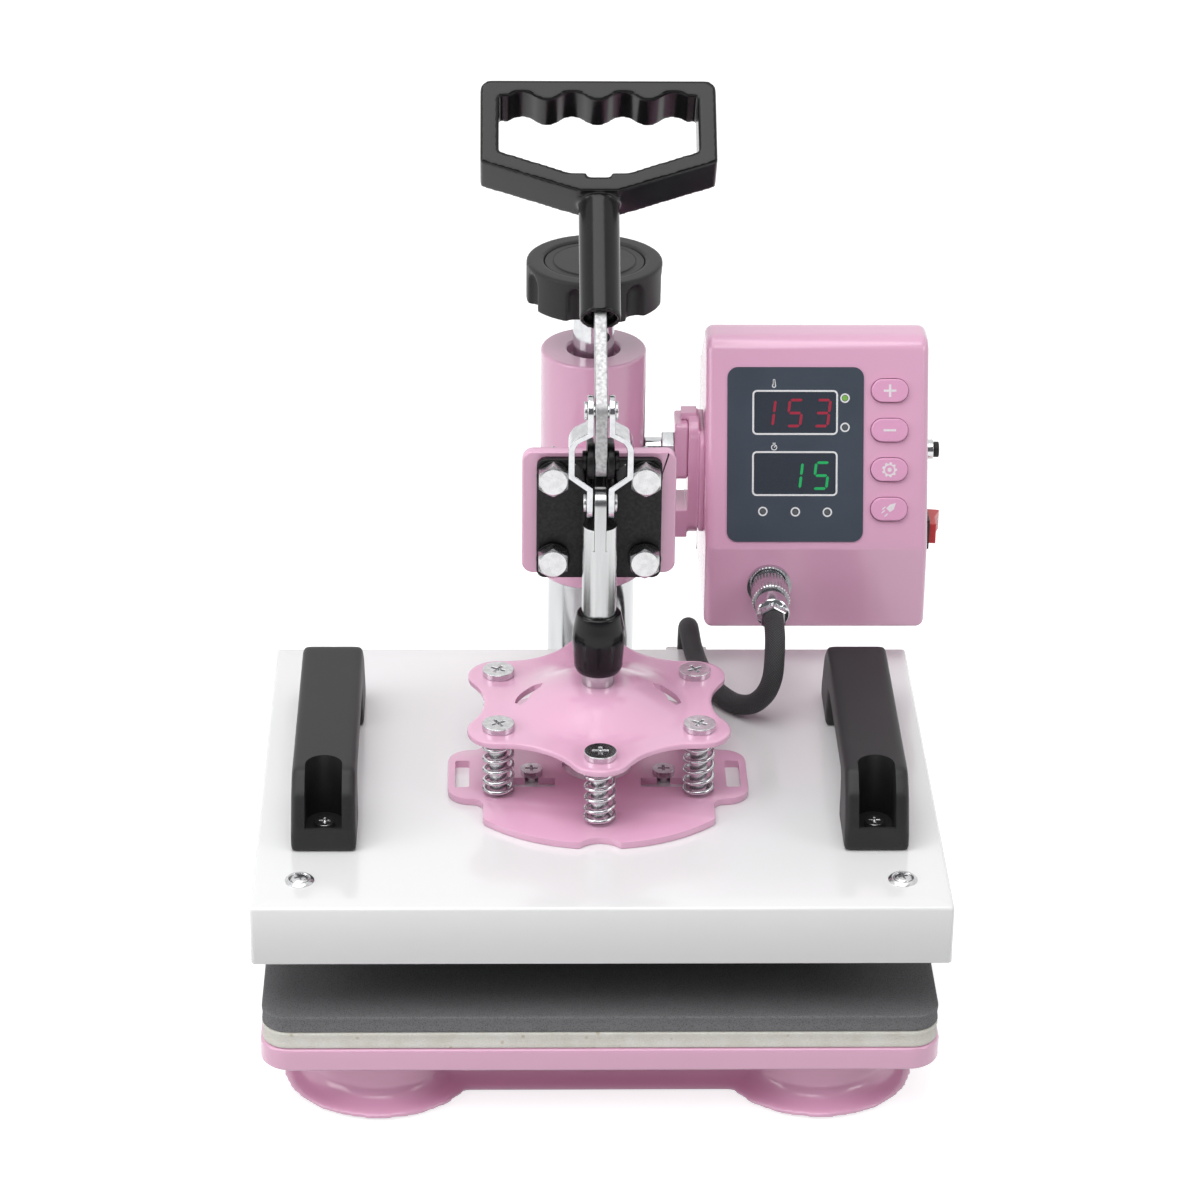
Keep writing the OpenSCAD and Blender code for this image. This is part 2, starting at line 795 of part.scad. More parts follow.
module box_shell() {
    inner = inset(box_profile, box_wall);
    color(pink) difference() {
        union() {
            difference() {
                box_solid(box_x0, box_x1, box_profile);
                intersection() {
                    box_solid(box_x0 + box_wall, box_x1 - box_wall, inner);
                    translate([0, box_front, 0]) cube([box_x1, box_d, 2 * crease_z]);
                }
                translate([box_x0 + box_wall, box_back - box_wall - 1, box_z0 + box_wall])
                    cube([box_w - 2 * box_wall, box_wall + 2, rear_cover_h - 2 * box_wall]);
            }
            at_cover_screws() along_y(9, box_back - 14, box_back);
            board_posts();
        }
        at_cover_screws() along_y(cover_screw_d + 2 * bolt_gap, box_back - 11, box_back + 1);
        for (i = button_rows) on_face(button_x, button_w0 + i * button_pitch) translate([0, 0, -board_drop])
            linear_extrude(board_drop + 1) slot_2d(button_len + 2 * loose, button_w + 2 * loose);
        for (w = window_rows) on_face(window_x + window_w / 2, w + window_h / 2)
            translate([-window_w / 2, -window_h / 2, -board_drop + 1])
                cube([window_w, window_h, board_drop]);
        translate([plug_x, 0, plug_z]) along_y(16 + 2 * bolt_gap, box_front - 1, box_front + box_wall + 1);
        translate([box_x1 - box_wall - 1, rocker_y - bezel_h / 2 + 1, rocker_z - bezel_w / 2 + 1.5])
            cube([box_wall + 2, bezel_h - 2, bezel_w - 3]);
        translate([0, fuse_y, fuse_z]) along_x(8 + 2 * bolt_gap, box_x1 - box_wall - 1, box_x1 + 1);
    }
}

module box_rear_cover() {
    vent_w = 2.5;
    vent_len = 40;
    vent_pitch = 6;
    vent_z = box_z0 + 56;
    color(pink) difference() {
        translate([box_x0, box_back, box_z0]) cube([box_w, rear_cover_t, rear_cover_h]);
        at_cover_screws() along_y(cover_screw_d + 2 * bolt_gap, box_back - 1, box_back + rear_cover_t + 1);
        translate([inlet_x - inlet_w / 2 - 0.2, box_back - 1, inlet_z - inlet_h / 2 - 0.2])
            cube([inlet_w + 0.4, rear_cover_t + 2, inlet_h + 0.4]);
        for (i = [0:5]) translate([inlet_x - vent_len / 2, box_back - 1, vent_z + vent_pitch * i])
            cube([vent_len, rear_cover_t + 2, vent_w]);
    }
}

module box_screws() {
    out = box_back + rear_cover_t;
    color(zinc) at_cover_screws() translate([0, out, 0]) rotate([-90, 0, 0]) difference() {
        union() {
            rod(6, 2);
            rod(cover_screw_d, rear_cover_t + 9, -rear_cover_t - 9);
        }
        translate([0, 0, 2]) cross_recess(3.6, 1.2);
    }
}

module panel_overlay() {
    color("#3d4653") on_face(panel_x + panel_w / 2, panel_w0 + panel_h / 2)
        linear_extrude(panel_t) round_rect(panel_w, panel_h, 5);
}

// Main board behind the face: two display modules, a switch under each button, a relay at its back
module control_board() {
    board_w = button_x + 9 - panel_x;
    switch_h = board_drop - button_under - button_travel - 0.1;
    color("#2f6b45") {
        on_face(panel_x, 4) translate([0, 0, -board_drop - board_t]) cube([board_w, panel_h - 1, board_t]);
        for (i = button_rows) on_face(button_x, button_w0 + i * button_pitch)
            rod(4, switch_h, -board_drop);
        on_face(panel_x + 14, 20) translate([0, 0, -board_drop - board_t - 16]) cube([26, 20, 16]);
    }
    color("#151518") for (w = window_rows) on_face(window_x + window_w / 2, w + window_h / 2)
        translate([-window_w / 2 + seat, -window_h / 2 + seat, -board_drop])
            cube([window_w - 2 * seat, window_h - 2 * seat, board_drop - seat]);
}

module power_inlet() {
    depth = 20;
    color("#1b1b1d") translate([inlet_x, box_back + rear_cover_t, inlet_z]) {
        difference() {
            union() {
                translate([-inlet_w / 2, -depth, -inlet_h / 2]) cube([inlet_w, depth, inlet_h]);
                translate([-inlet_w / 2 - 3, 0, -inlet_h / 2 - 3]) cube([inlet_w + 6, 2, inlet_h + 6]);
            }
            translate([-inlet_w / 2 + 1.5, 2.5 - depth, -inlet_h / 2 + 1.5])
                cube([inlet_w - 3, depth, inlet_h - 3]);
        }
        for (x = [-7, 0, 7]) translate([x - 1, 2.5 - depth, x == 0 ? 1 : -4]) cube([2, 10, 4]);
    }
}

// Switch housing with two stub pins that the rocker turns on
module rocker_bezel() {
    body_w = bezel_w - 3.4;
    body_h = bezel_h - 2.4;
    hole_h = rocker_h + 2 * loose;
    pin = 1.5;
    color("#18181a") translate([box_x1, rocker_y, rocker_z]) rotate([-90, 0, 0]) {
        difference() {
            union() {
                translate([0, -bezel_w / 2, -bezel_h / 2]) cube([2, bezel_w, bezel_h]);
                translate([-9.5, -body_w / 2, -body_h / 2]) cube([10.5, body_w, body_h]);
            }
            translate([-7.5, -rocker_w / 2, -hole_h / 2]) cube([12, rocker_w, hole_h]);
        }
        for (s = [0, 1]) mirror([0, s, 0]) translate([1, 0, 0])
            along_y(trunnion_d, rocker_w / 2 - pin, rocker_w / 2 + 1);
    }
}

trunnion_d = 2;
rocker_tilt = 10;
rocker_face = 4.4;

module rocker() {
    half_w = rocker_w / 2 - loose;
    half_h = rocker_h / 2 - loose;
    lift = half_h * tan(rocker_tilt);
    color("#c8202c") translate([box_x1 + 1, rocker_y, rocker_z]) rotate([-90, 0, 0])
        rotate([0, rocker_tilt, 0]) difference() {
            translate([0, half_w, 0]) rotate([90, 0, 0]) linear_extrude(2 * half_w)
                polygon([[-1.5, -half_h], [rocker_face + lift, -half_h], [rocker_face, 0],
                    [rocker_face + lift, half_h], [-1.5, half_h], [-5, 2], [-5, -2]]);
            along_y(trunnion_d + 2 * run_fit, -half_w - 1, half_w + 1);
        }
}

fuse_d = 5;
fuse_flange_t = 4.8;

module fuse_holder() {
    color(chrome) translate([0, fuse_y, fuse_z]) difference() {
        union() {
            along_x(8, box_x1 - 14, box_x1 + 1);
            along_x(9.7, box_x1, box_x1 + fuse_flange_t);
        }
        along_x(fuse_d + 2 * run_fit, box_x1 - 12, box_x1 + fuse_flange_t + 1);
    }
}

module fuse_cap() {
    cap_x0 = box_x1 + fuse_flange_t + loose;
    color(dark) translate([0, fuse_y, fuse_z]) difference() {
        union() {
            along_x(fuse_d, box_x1 - 10, cap_x0);
            along_x(7.5, cap_x0, cap_x0 + 2.5);
        }
        translate([cap_x0 + 1.5, -3, -0.6]) cube([2, 6, 1.2]);
    }
}

// Round plug and socket on the lower face

socket_flange_t = 2.5;
ring_from = 5;
ring_len = 14;
clamp_d = 13.3;

module panel_socket() {
    color(chrome) translate([plug_x, 0, plug_z]) difference() {
        union() {
            along_y(16, box_front - 9, box_front + 9);
            along_y(21, box_front - socket_flange_t, box_front);
            translate([0, box_front + box_wall + 3.5, 0]) rotate([90, 0, 0]) hex_prism(19, 3.5);
        }
        along_y(12, box_front - 10, box_front - 3);
    }
}

module plug_ring() {
    color(zinc) translate([plug_x, 0, plug_z]) difference() {
        along_y(18, box_front - ring_from - ring_len, box_front - ring_from);
        along_y(16 + 2 * seat, box_front - 9 - seat, box_front);
        along_y(14 + 2 * seat, box_front - 40, box_front);
    }
}

module plug_body() {
    end = box_front - plug_len;
    color(chrome) translate([plug_x, 0, plug_z]) {
        along_y(14, end + 4, box_front - 9 - seat);
        along_y(clamp_d, end, end + 5);
        along_y(15.5, end + 6, end + 15);
    }
}

// One push button, number i up the face, with a flange behind the wall
module button(i) {
    color(pink) on_face(button_x, button_w0 + i * button_pitch) {
        translate([0, 0, -button_under]) {
            linear_extrude(button_under + button_proud) slot_2d(button_len, button_w);
            linear_extrude(button_flange_t) slot_2d(button_len + 2, button_w + 2);
        }
    }
}

module button_plus() { button(3); }
module button_minus() { button(2); }
module button_set() { button(1); }
module button_start() { button(0); }

// Lever and toggle

rivet_d = 6;
bar_half = 7;
bar_top_half = 6;
bar_end = grip_from + 40.5;
tongue_half = 2.6;
tongue_depth = rod_d / 2 - 0.36;

// Frame on the lever: Z along its upper part, up from the links' upper rivet
module on_lever() {
    translate([0, -reach, crank_z]) rotate([-back_lean, 0, 0]) children();
}

// Flat bar, upright between its pivot and the links' rivet, leaning back above that
module lever_bar() {
    taper_from = 14;
    taper_to = 34;
    color(zinc) translate([0, -reach, pivot_z]) difference() {
        across_x(lever_t) {
            circle(bar_half);
            translate([-bar_half, 0]) square([2 * bar_half, crank_r]);
            translate([0, crank_r]) circle(bar_half);
            translate([0, crank_r]) rotate(-back_lean)
                polygon([[-bar_half, 0], [bar_half, 0], [bar_half, taper_from], [bar_top_half, taper_to],
                    [bar_top_half, bar_end], [-bar_top_half, bar_end], [-bar_top_half, taper_to],
                    [-bar_half, taper_from]]);
        }
        along_x(pivot_d + 2 * run_fit, -lever_t, lever_t);
        translate([0, 0, crank_r]) along_x(rivet_d + 2 * run_fit, -lever_t, lever_t);
    }
}

// Outline of the D grip seen from the front
grip_corner = 5;
wave_pitch = 22.9;
wave_r = 8.4;
wave_depth = 4.5;

module grip_outer() {
    half = grip_w / 2;
    side_low = grip_to - 42.5;
    vee_low = grip_to - 57.7;
    polygon([[corner_in(half), grip_to], [-corner_in(half), grip_to], [-half, grip_to - grip_corner],
        [-half, side_low], [-stem_d / 2, vee_low], [stem_d / 2, vee_low], [half, side_low],
        [half, grip_to - grip_corner]]);
    for (s = [-1, 1]) translate([s * corner_in(half), grip_to - grip_corner]) circle(grip_corner);
}

function corner_in(half) = half - grip_corner;

// Opening of the grip: a vee below, four finger waves under the top bar
module grip_opening() {
    hole_half = grip_w / 2 - grip_bar;
    wave_mid = grip_to - 8;
    side_low = grip_to - 37.2;
    vee = grip_to - 48.5;
    difference() {
        union() {
            polygon([[-hole_half, wave_mid], [-hole_half, side_low], [-12.8, vee], [-5.6, vee],
                [-5.6, vee - 2], [5.6, vee - 2], [5.6, vee], [12.8, vee], [hole_half, side_low],
                [hole_half, wave_mid]]);
            for (i = [-1.5:1:1.5])
                translate([i * wave_pitch, wave_mid + wave_depth / 2 - wave_r]) circle(wave_r);
        }
        for (i = [-1:1]) translate([i * wave_pitch, wave_mid - wave_depth / 2 + wave_r]) circle(wave_r);
    }
}

module grip() {
    slot_w = lever_t + 0.1;
    mouth_d = stem_d - 4;
    color("#161618") on_lever() difference() {
        union() {
            rotate([90, 0, 0]) linear_extrude(grip_depth, center = true) difference() {
                grip_outer();
                grip_opening();
            }
            rod(stem_d, grip_to - 53 - grip_from, grip_from);
        }
        translate([-slot_w / 2, -bar_top_half - 0.05, grip_from - 1])
            cube([slot_w, 2 * bar_top_half + 0.1, bar_end - grip_from + 1 + seat]);
        rod(mouth_d, 5, grip_from - 1);
    }
}

link_in = lever_t / 2 + 0.6;
link_foot_in = tongue_half + 0.8;
link_bulge = ear_gap + ear_t + pin_head_t + 3.5;
link_len = crank_z - drop_z;

// Frame on the upright links: Z along them, up from the lower rivet
module on_links() {
    translate([0, -reach, drop_z]) children();
}

// One link: a strip that bulges out round the ear, with a rounded shoulder, in at both ends
module link() {
    end_r = link_w / 2;
    shoulder = drop_r + 8.2;
    sole = drop_r - 5.7;
    inner = [[link_in, link_len + end_r], [link_in, shoulder + 6.4], [link_bulge - 1.65, shoulder + 2.8],
        [link_bulge - 0.58, shoulder + 1.2], [link_bulge, shoulder - 0.5], [link_bulge, sole + 1.3],
        [link_foot_in, sole - 4.9], [link_foot_in, -end_r]];
    outer = [[link_in, link_len + end_r], [link_in, shoulder + 8], [link_bulge - 2.45, shoulder + 4.8],
        [link_bulge - 0.85, shoulder + 2.4], [link_bulge, shoulder], [link_bulge, sole],
        [link_foot_in, sole - 6.2], [link_foot_in, -end_r]];
    intersection() {
        translate([0, end_r, 0]) rotate([90, 0, 0]) linear_extrude(link_w)
            polygon(concat(inner, [for (i = [len(outer) - 1:-1:0]) outer[i] + [link_t, 0]]));
        across_x(80) {
            for (z = [0, link_len]) translate([0, z]) circle(end_r);
            translate([-end_r, 0]) square([link_w, link_len]);
        }
    }
}

module toggle_links() {
    color(chrome) on_links() for (s = [0, 1]) mirror([s, 0, 0]) difference() {
        link();
        for (z = [0, link_len]) translate([0, 0, z]) along_x(rivet_d + 2 * seat, 0, 30);
    }
}

module link_rivets() {
    head_d = 8.4;
    head_t = 1.4;
    top_out = link_in + link_t;
    foot_out = link_foot_in + link_t;
    color(zinc) on_links() {
        translate([0, 0, link_len]) along_x(rivet_d, -top_out, top_out);
        for (s = [0, 1]) mirror([s, 0, 0]) {
            translate([0, 0, link_len]) along_x(head_d, top_out, top_out + head_t);
            along_x(rivet_d, link_foot_in, foot_out);
            along_x(head_d, foot_out, foot_out + head_t);
        }
    }
}

// Plunger

thread_d = 10;
rod_top = drop_z - 10.6;
nut_t = 7;
nut_af = 16;

module plunger() {
    nose_z = dome_top - star_t - nut_t - 2;
    color(chrome) at_plunger() {
        difference() {
            rod(rod_d, rod_top - guide_z + loose, guide_z - loose);
            translate([-rod_d / 2, -rod_d, guide_z - 1])
                cube([rod_d, rod_d - tongue_depth, rod_top - guide_z + 2]);
        }
        rod(thread_d, guide_z - loose - nose_z, nose_z);
        difference() {
            across_x(2 * tongue_half) {
                translate([0, drop_z]) circle(tongue_depth);
                translate([-tongue_depth, rod_top - 10]) square([2 * tongue_depth, drop_z - rod_top + 10]);
            }
            translate([0, 0, drop_z]) along_x(rivet_d, -rod_d, rod_d);
        }
    }
}

// Round collar nut over the star plate and hex nut under it
module plunger_nuts() {
    color(chrome) at_plunger() {
        tube(rod_d - 0.8, thread_d + 2 * seat, collar_nut_h, dome_top);
        translate([0, 0, dome_top - star_t - nut_t]) difference() {
            hex_prism(nut_af, nut_t);
            rod(thread_d + 2 * seat, nut_t + 2, -1);
        }
    }
}

module star_outline() {
    corners = [for (a = spring_angles)
        each [spring_circle_r * [cos(a), sin(a)], scallop_at * [cos(a + 30), sin(a + 30)]]];
    difference() {
        union() {
            polygon(corners);
            for (a = spring_angles) rotate(a) translate([spring_circle_r, 0]) circle(lobe_r);
        }
        for (a = spring_angles) rotate(a + 30) translate([scallop_at, 0]) circle(scallop_r);
    }
}

module star_plate() {
    edge = star_z + star_t;
    crown_r = 13;
    brim_r = spring_circle_r - 11;
    far = spring_circle_r + lobe_r + 5;
    color(pink) at_plunger() difference() {
        intersection() {
            rotate_extrude() polygon([[0, dome_top - star_t], [crown_r, dome_top - star_t], [brim_r, star_z],
                [far, star_z], [far, edge], [brim_r, edge], [crown_r, dome_top], [0, dome_top]]);
            translate([0, 0, star_z - 1]) linear_extrude(dome_rise + star_t + 2) star_outline();
        }
        rod(thread_d + 2 * bolt_gap, 40, star_z - 10);
        for (a = spring_angles) rotate([0, 0, a]) translate([spring_circle_r, 0, 0])
            rod(sleeve_bolt_d + 2 * run_fit, 40, star_z - 10);
        for (s = [0, 1]) mirror([s, 0, 0]) translate([31, 1.5, star_z - 1]) rotate([0, 0, 127])
            linear_extrude(20) slot_2d(15.5, 4.5);
    }
}

// Heating platen

bolt_tip_d = 6;
spring_head_d = 14.5;
spring_head_t = 3;

module at_springs() {
    at_plunger() for (a = spring_angles) rotate([0, 0, a]) translate([spring_circle_r, 0, 0]) children();
}

module spring_bolts() {
    head_z = star_z + star_t + seat;
    color(chrome) at_springs() difference() {
        union() {
            rod(spring_head_d, spring_head_t, head_z);
            rod(sleeve_bolt_d, head_z - bracket_top - seat, bracket_top + seat);
            rod(bolt_tip_d, bracket_t, cover_top + seat);
        }
        translate([0, 0, head_z + spring_head_t]) cross_recess(7, 1.8);
    }
}

// Height of the spring wire's middle after t turns: closed end turns, open ones between
spring_low = spring_wire / 2 + 0.15;
spring_close = spring_wire + 0.6;
function wire_z(t) = t < 1 ? spring_low + spring_close * t
    : t > spring_turns - 1 ? spring_len - spring_low - spring_close * (spring_turns - t)
    : spring_low + spring_close
        + (spring_len - 2 * spring_low - 2 * spring_close) * (t - 1) / (spring_turns - 2);
function wire_point(t) = [spring_r * cos(360 * t), spring_r * sin(360 * t), wire_z(t)];

curl_rings = 8;
spring_path = concat([wire_point(0) - [0, spring_wire, 0]],
    [for (i = [0:spring_turns * curl_rings]) wire_point(i / curl_rings)],
    [wire_point(spring_turns) + [0, spring_wire, 0]]);

// Least gap between the wire and the turn above it, measured on the path's points
spring_gap = min([for (i = [1:len(spring_path) - 2], j = [1:len(spring_path) - 2])
    if (j - i >= curl_rings / 2) norm(spring_path[i] - spring_path[j]) - spring_wire]);
echo(spring_gap = spring_gap);

// Tube swept along points: rings of the given sides, faces as triangles
function unit(v) = v / norm(v);
function tangent(p, i) = unit(p[min(i + 1, len(p) - 1)] - p[max(i - 1, 0)]);
function next_side(side, t) = unit(side - t * (side * t));
function sides(p, first) = [for (i = 0, s = next_side(first, tangent(p, 0)); i < len(p);
    i = i + 1, s = i < len(p) ? next_side(s, tangent(p, i)) : s) s];

module swept_tube(p, r, n, first) {
    s = sides(p, first);
    points = [for (i = [0:len(p) - 1]) let (t = tangent(p, i), up = cross(t, s[i])) for (k = [0:n - 1])
        p[i] + r * (cos(360 * k / n) * s[i] + sin(360 * k / n) * up)];
    last = (len(p) - 1) * n;
    walls = [for (i = [0:len(p) - 2], k = [0:n - 1]) let (a = i * n + k, b = i * n + (k + 1) % n)
        each [[a, a + n, b], [b, a + n, b + n]]];
    ends = [for (k = [1:n - 2]) each [[0, k, k + 1], [last, last + k + 1, last + k]]];
    polyhedron(points, concat(walls, ends));
}

module float_springs() {
    color(chrome) at_springs() translate([0, 0, bracket_top])
        swept_tube(spring_path, spring_wire / 2, 6, [1, 0, 0]);
}

keyhole_places = [for (x = [-30, 30], y = [-9, 40]) [x, y]];
key_screw_d = 5;
ear_ahead = 9;
ear_len = 46;
ear_corner = 12;
ear_fillet = 6;

module bracket_outline() {
    difference() {
        union() {
            intersection() {
                circle(bracket_r);
                square([2 * bracket_half_w, 2 * bracket_r], center = true);
            }
            translate([0, -ear_ahead]) {
                round_rect(2 * bracket_ear_half, ear_len, ear_corner);
                square([2 * (bracket_half_w + ear_fillet), ear_len + 2 * ear_fillet], center = true);
            }
        }
        for (x = [-1, 1], y = [-1, 1])
            translate([x * (bracket_half_w + ear_fillet), y * (ear_len / 2 + ear_fillet) - ear_ahead])
                circle(ear_fillet);
        circle(16);
        translate([0, -bracket_r - 6.4]) circle(11.5);
        for (s = [-1, 1]) translate([s * (bracket_ear_half - 6.5), -ear_ahead]) round_rect(6.5, 24.5, 1);
        for (p = keyhole_places) translate(p) {
            translate([0, -8]) square([21, 8.6], center = true);
            translate([-3, -8]) square([6, 8]);
            circle(3);
        }
        for (a = spring_angles) rotate(a) translate([spring_circle_r, 0]) circle(bolt_tip_d / 2 + bolt_gap);
    }
}

module platen_bracket() {
    color(pink) at_plunger() translate([0, 0, cover_top]) linear_extrude(bracket_t) bracket_outline();
}

corner_screw_places = [for (x = [-1, 1], y = [-1, 1]) [x * (cover_w / 2 - 20.5), y * (cover_d / 2 - 24)]];
corner_screw_d = 4;
handle_x = cover_w / 2 - handle_in;
handle_screw_in = 15;
far_screw_in = 8.5;
handle_screw_rows = [handle_screw_in - handle_len / 2, handle_len / 2 - far_screw_in];
handle_screw_places = [for (x = [-1, 1], y = handle_screw_rows) [x * handle_x, y]];
handle_screw_d = 4;
pocket_floor = 5;
cup_t = 1.6;
core_top = cover_top - sheet_t;

// Sheet-steel cover, open below
module platen_cover() {
    color("#f4f5f6") at_plunger() difference() {
        translate([-cover_w / 2, -cover_d / 2, cover_z]) cube([cover_w, cover_d, cover_h]);
        translate([-cover_w / 2 + sheet_t, -cover_d / 2 + sheet_t, cover_z - 1])
            cube([cover_w - 2 * sheet_t, cover_d - 2 * sheet_t, cover_h - sheet_t + 1]);
        for (p = corner_screw_places) translate(p) rod(corner_screw_d + 2 * bolt_gap, 40, cover_z);
        for (p = handle_screw_places) translate(p) rod(handle_screw_d + 2 * bolt_gap, 40, cover_z);
        for (p = keyhole_places) translate(p) rod(key_screw_d + 2 * bolt_gap, 40, cover_z);
    }
}

// Block on the cover's rear wall, where the heater cord goes in from above
module cord_gland() {
    color("#f4f5f6") difference() {
        translate([gland_x - 10, cover_back, gland_top - gland_h])
            cube([20, gland_y + 8 - cover_back, gland_h]);
        translate([gland_x, gland_y, 0]) rod(cord_d + 2 * loose, gland_h, gland_top - gland_bore);
    }
}

core_w = cover_w - 2 * sheet_t - 1;
core_d = cover_d - 2 * sheet_t - 1;
wool_z = plate_z + plate_t;

module heat_plate() {
    color("#3a3a3d") at_plunger() translate([-core_w / 2, -core_d / 2, plate_z])
        cube([core_w, core_d, plate_t]);
}

module insulation() {
    color("#d8d0b0") at_plunger() difference() {
        translate([-core_w / 2, -core_d / 2, wool_z]) cube([core_w, core_d, core_top - wool_z]);
        for (p = concat(corner_screw_places, handle_screw_places, keyhole_places))
            translate(p) rod(key_screw_d + 2 * loose, 40, wool_z - 1);
    }
}

// Screws of the cover's corners with their cup washers, of the bracket and of the side handles
module platen_screws() {
    color(zinc) at_plunger() {
        for (p = corner_screw_places) translate(p) {
            top_screw(corner_screw_d, 8, 2.6, cover_top + cup_t + seat);
            cup_washer();
        }
        for (p = keyhole_places) translate(p) top_screw(key_screw_d, 10, 3, bracket_top);
        for (p = handle_screw_places) translate(p)
            top_screw(handle_screw_d, 9, 2.6, cover_top + pocket_floor + seat);
    }
}

// Screw with its head's seat at height z, reaching down to the heat plate
module top_screw(d, head_d, head_h, z) {
    difference() {
        union() {
            rod(head_d, head_h, z + seat);
            rod(d, z + 1 - wool_z, wool_z + seat);
        }
        translate([0, 0, z + head_h + seat]) cross_recess(head_d * 0.55, 1.4);
    }
}

module cup_washer() {
    difference() {
        translate([0, 0, cover_top + seat]) cylinder(d1 = 12.4, d2 = 9, h = cup_t);
        rod(corner_screw_d + 2 * bolt_gap, 10, cover_top - 1);
    }
}

// Two bridge handles with a finger gap, drafted sides and a round-backed screw pocket at each end,
// the front one wider
module side_handles() {
    half = handle_len / 2;
    foot = 32;
    gap_h = 20;
    lip = 11;
    top_w = handle_w - 5;
    pockets = [[1, handle_screw_in, 16.5], [0, far_screw_in, 11]];
    pocket_wall = 3;
    side = [[half - 15, handle_h], [half - 5.5, handle_h - 8.5], [half, lip], [half, 0], [half - foot, 0],
        [half - foot - 3, gap_h]];
    places = [-handle_x, handle_x];
    color("#2a2a2d") at_plunger() for (x = places) translate([x, 0, cover_top + seat]) difference() {
        intersection() {
            across_x(handle_w)
                polygon(concat(side, [for (i = [len(side) - 1:-1:0]) [-side[i].x, side[i].y]]));
            translate([0, half, 0]) rotate([90, 0, 0]) linear_extrude(handle_len)
                polygon([[-handle_w / 2, 0], [handle_w / 2, 0],
                    [top_w / 2, handle_h], [-top_w / 2, handle_h]]);
        }
        for (p = pockets) mirror([0, p[0], 0]) translate([0, half - p[1], 0]) {
            translate([-p[2] / 2, -1, pocket_floor]) cube([p[2], 1 + p[1] - pocket_wall, handle_h]);
            translate([0, -1, 0]) rod(p[2], handle_h, pocket_floor);
            rod(handle_screw_d + 2 * bolt_gap, handle_h, -1);
        }
    }
}

// Curve through the route's points, two steps to each span
function spline(a, b, c, d, t) = 0.5 * (2 * b + (c - a) * t + (2 * a - 5 * b + 4 * c - d) * t * t
    + (3 * b - a - 3 * c + d) * t * t * t);
cord_path = concat([for (i = [0:len(cord_route) - 2], t = [0, 0.5])
    spline(cord_route[max(i - 1, 0)], cord_route[i], cord_route[i + 1],
        cord_route[min(i + 2, len(cord_route) - 1)], t)], [cord_route[len(cord_route) - 1]]);

module heater_cord() {
    color("#232326") swept_tube(cord_path, cord_d / 2, 12, [1, 0, 0]);
}

base_casting();
rubber_feet();
lower_platen();
base_bolts();
felt_pad();
silicone_pad();
post();
post_nut();
thrust_bearing();
lead_screw();
knob_collar();
set_screw();
pressure_knob();
knob_cap();
swing_sleeve();
sleeve_bushes();
arm();
mount_plate();
toggle_base();
toggle_bolts();
toggle_washers();
pivot_pin();
guide_barrel();
bracket_bolt();
bracket_block();
box_hanger();
box_shell();
box_rear_cover();
box_screws();
panel_overlay();
control_board();
power_inlet();
rocker_bezel();
rocker();
fuse_holder();
fuse_cap();
panel_socket();
plug_ring();
plug_body();
button_plus();
button_minus();
button_set();
button_start();
lever_bar();
grip();
toggle_links();
link_rivets();
plunger();
plunger_nuts();
star_plate();
spring_bolts();
float_springs();
platen_bracket();
platen_cover();
heat_plate();
insulation();
platen_screws();
side_handles();
cord_gland();
heater_cord();
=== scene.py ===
from math import acos, asin, atan2, copysign, cos, pi, radians, sin, sqrt, tan, tau
import bmesh
import bpy
import numpy as np
from mathutils import Matrix, Vector


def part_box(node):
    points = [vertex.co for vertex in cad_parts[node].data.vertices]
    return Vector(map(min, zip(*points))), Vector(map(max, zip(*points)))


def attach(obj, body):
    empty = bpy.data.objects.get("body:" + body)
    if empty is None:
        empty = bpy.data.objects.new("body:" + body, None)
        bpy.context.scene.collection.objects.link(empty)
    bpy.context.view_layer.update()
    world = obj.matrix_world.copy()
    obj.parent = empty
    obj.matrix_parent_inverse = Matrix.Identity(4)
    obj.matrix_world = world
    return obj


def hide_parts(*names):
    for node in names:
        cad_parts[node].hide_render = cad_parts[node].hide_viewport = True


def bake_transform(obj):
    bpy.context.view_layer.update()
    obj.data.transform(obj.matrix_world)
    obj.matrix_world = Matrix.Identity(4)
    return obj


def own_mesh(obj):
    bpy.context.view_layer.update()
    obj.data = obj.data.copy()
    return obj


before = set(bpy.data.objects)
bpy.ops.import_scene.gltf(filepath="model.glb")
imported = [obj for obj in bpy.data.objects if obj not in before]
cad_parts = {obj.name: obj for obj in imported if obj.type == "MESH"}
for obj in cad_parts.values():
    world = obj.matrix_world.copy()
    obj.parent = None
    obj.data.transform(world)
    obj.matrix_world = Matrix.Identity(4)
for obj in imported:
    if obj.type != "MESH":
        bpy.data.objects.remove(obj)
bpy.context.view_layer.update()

# Camera. The press was photographed from 1.8 m in front and 1 m up with a long lens that looks
# down on the cover; the place and lens were fitted to corners of the cover, the pads and the box.
def added(name, data):
    """An object with this data, put in the scene."""
    made = bpy.data.objects.new(name, data)
    bpy.context.scene.collection.objects.link(made)
    return made


yaw, pitch, roll = (radians(a) for a in (1.5704, 26.6605, 0.7107))
look = Vector((sin(yaw) * cos(pitch), cos(yaw) * cos(pitch), -sin(pitch)))
level = Vector((cos(yaw), -sin(yaw), 0))
above = level.cross(look)
aside = cos(roll) * level + sin(roll) * above
upright = cos(roll) * above - sin(roll) * level
lens = bpy.data.cameras.new("camera")
lens.sensor_width, lens.lens = 36, 123.31
camera = added("camera", lens)
camera.matrix_world = (Matrix.Translation((-0.044644, -1.79365, 1.024935))
                       @ Matrix((aside, upright, -look)).transposed().to_4x4())
bpy.context.scene.camera = camera
bpy.context.scene.view_settings.view_transform = "Standard"


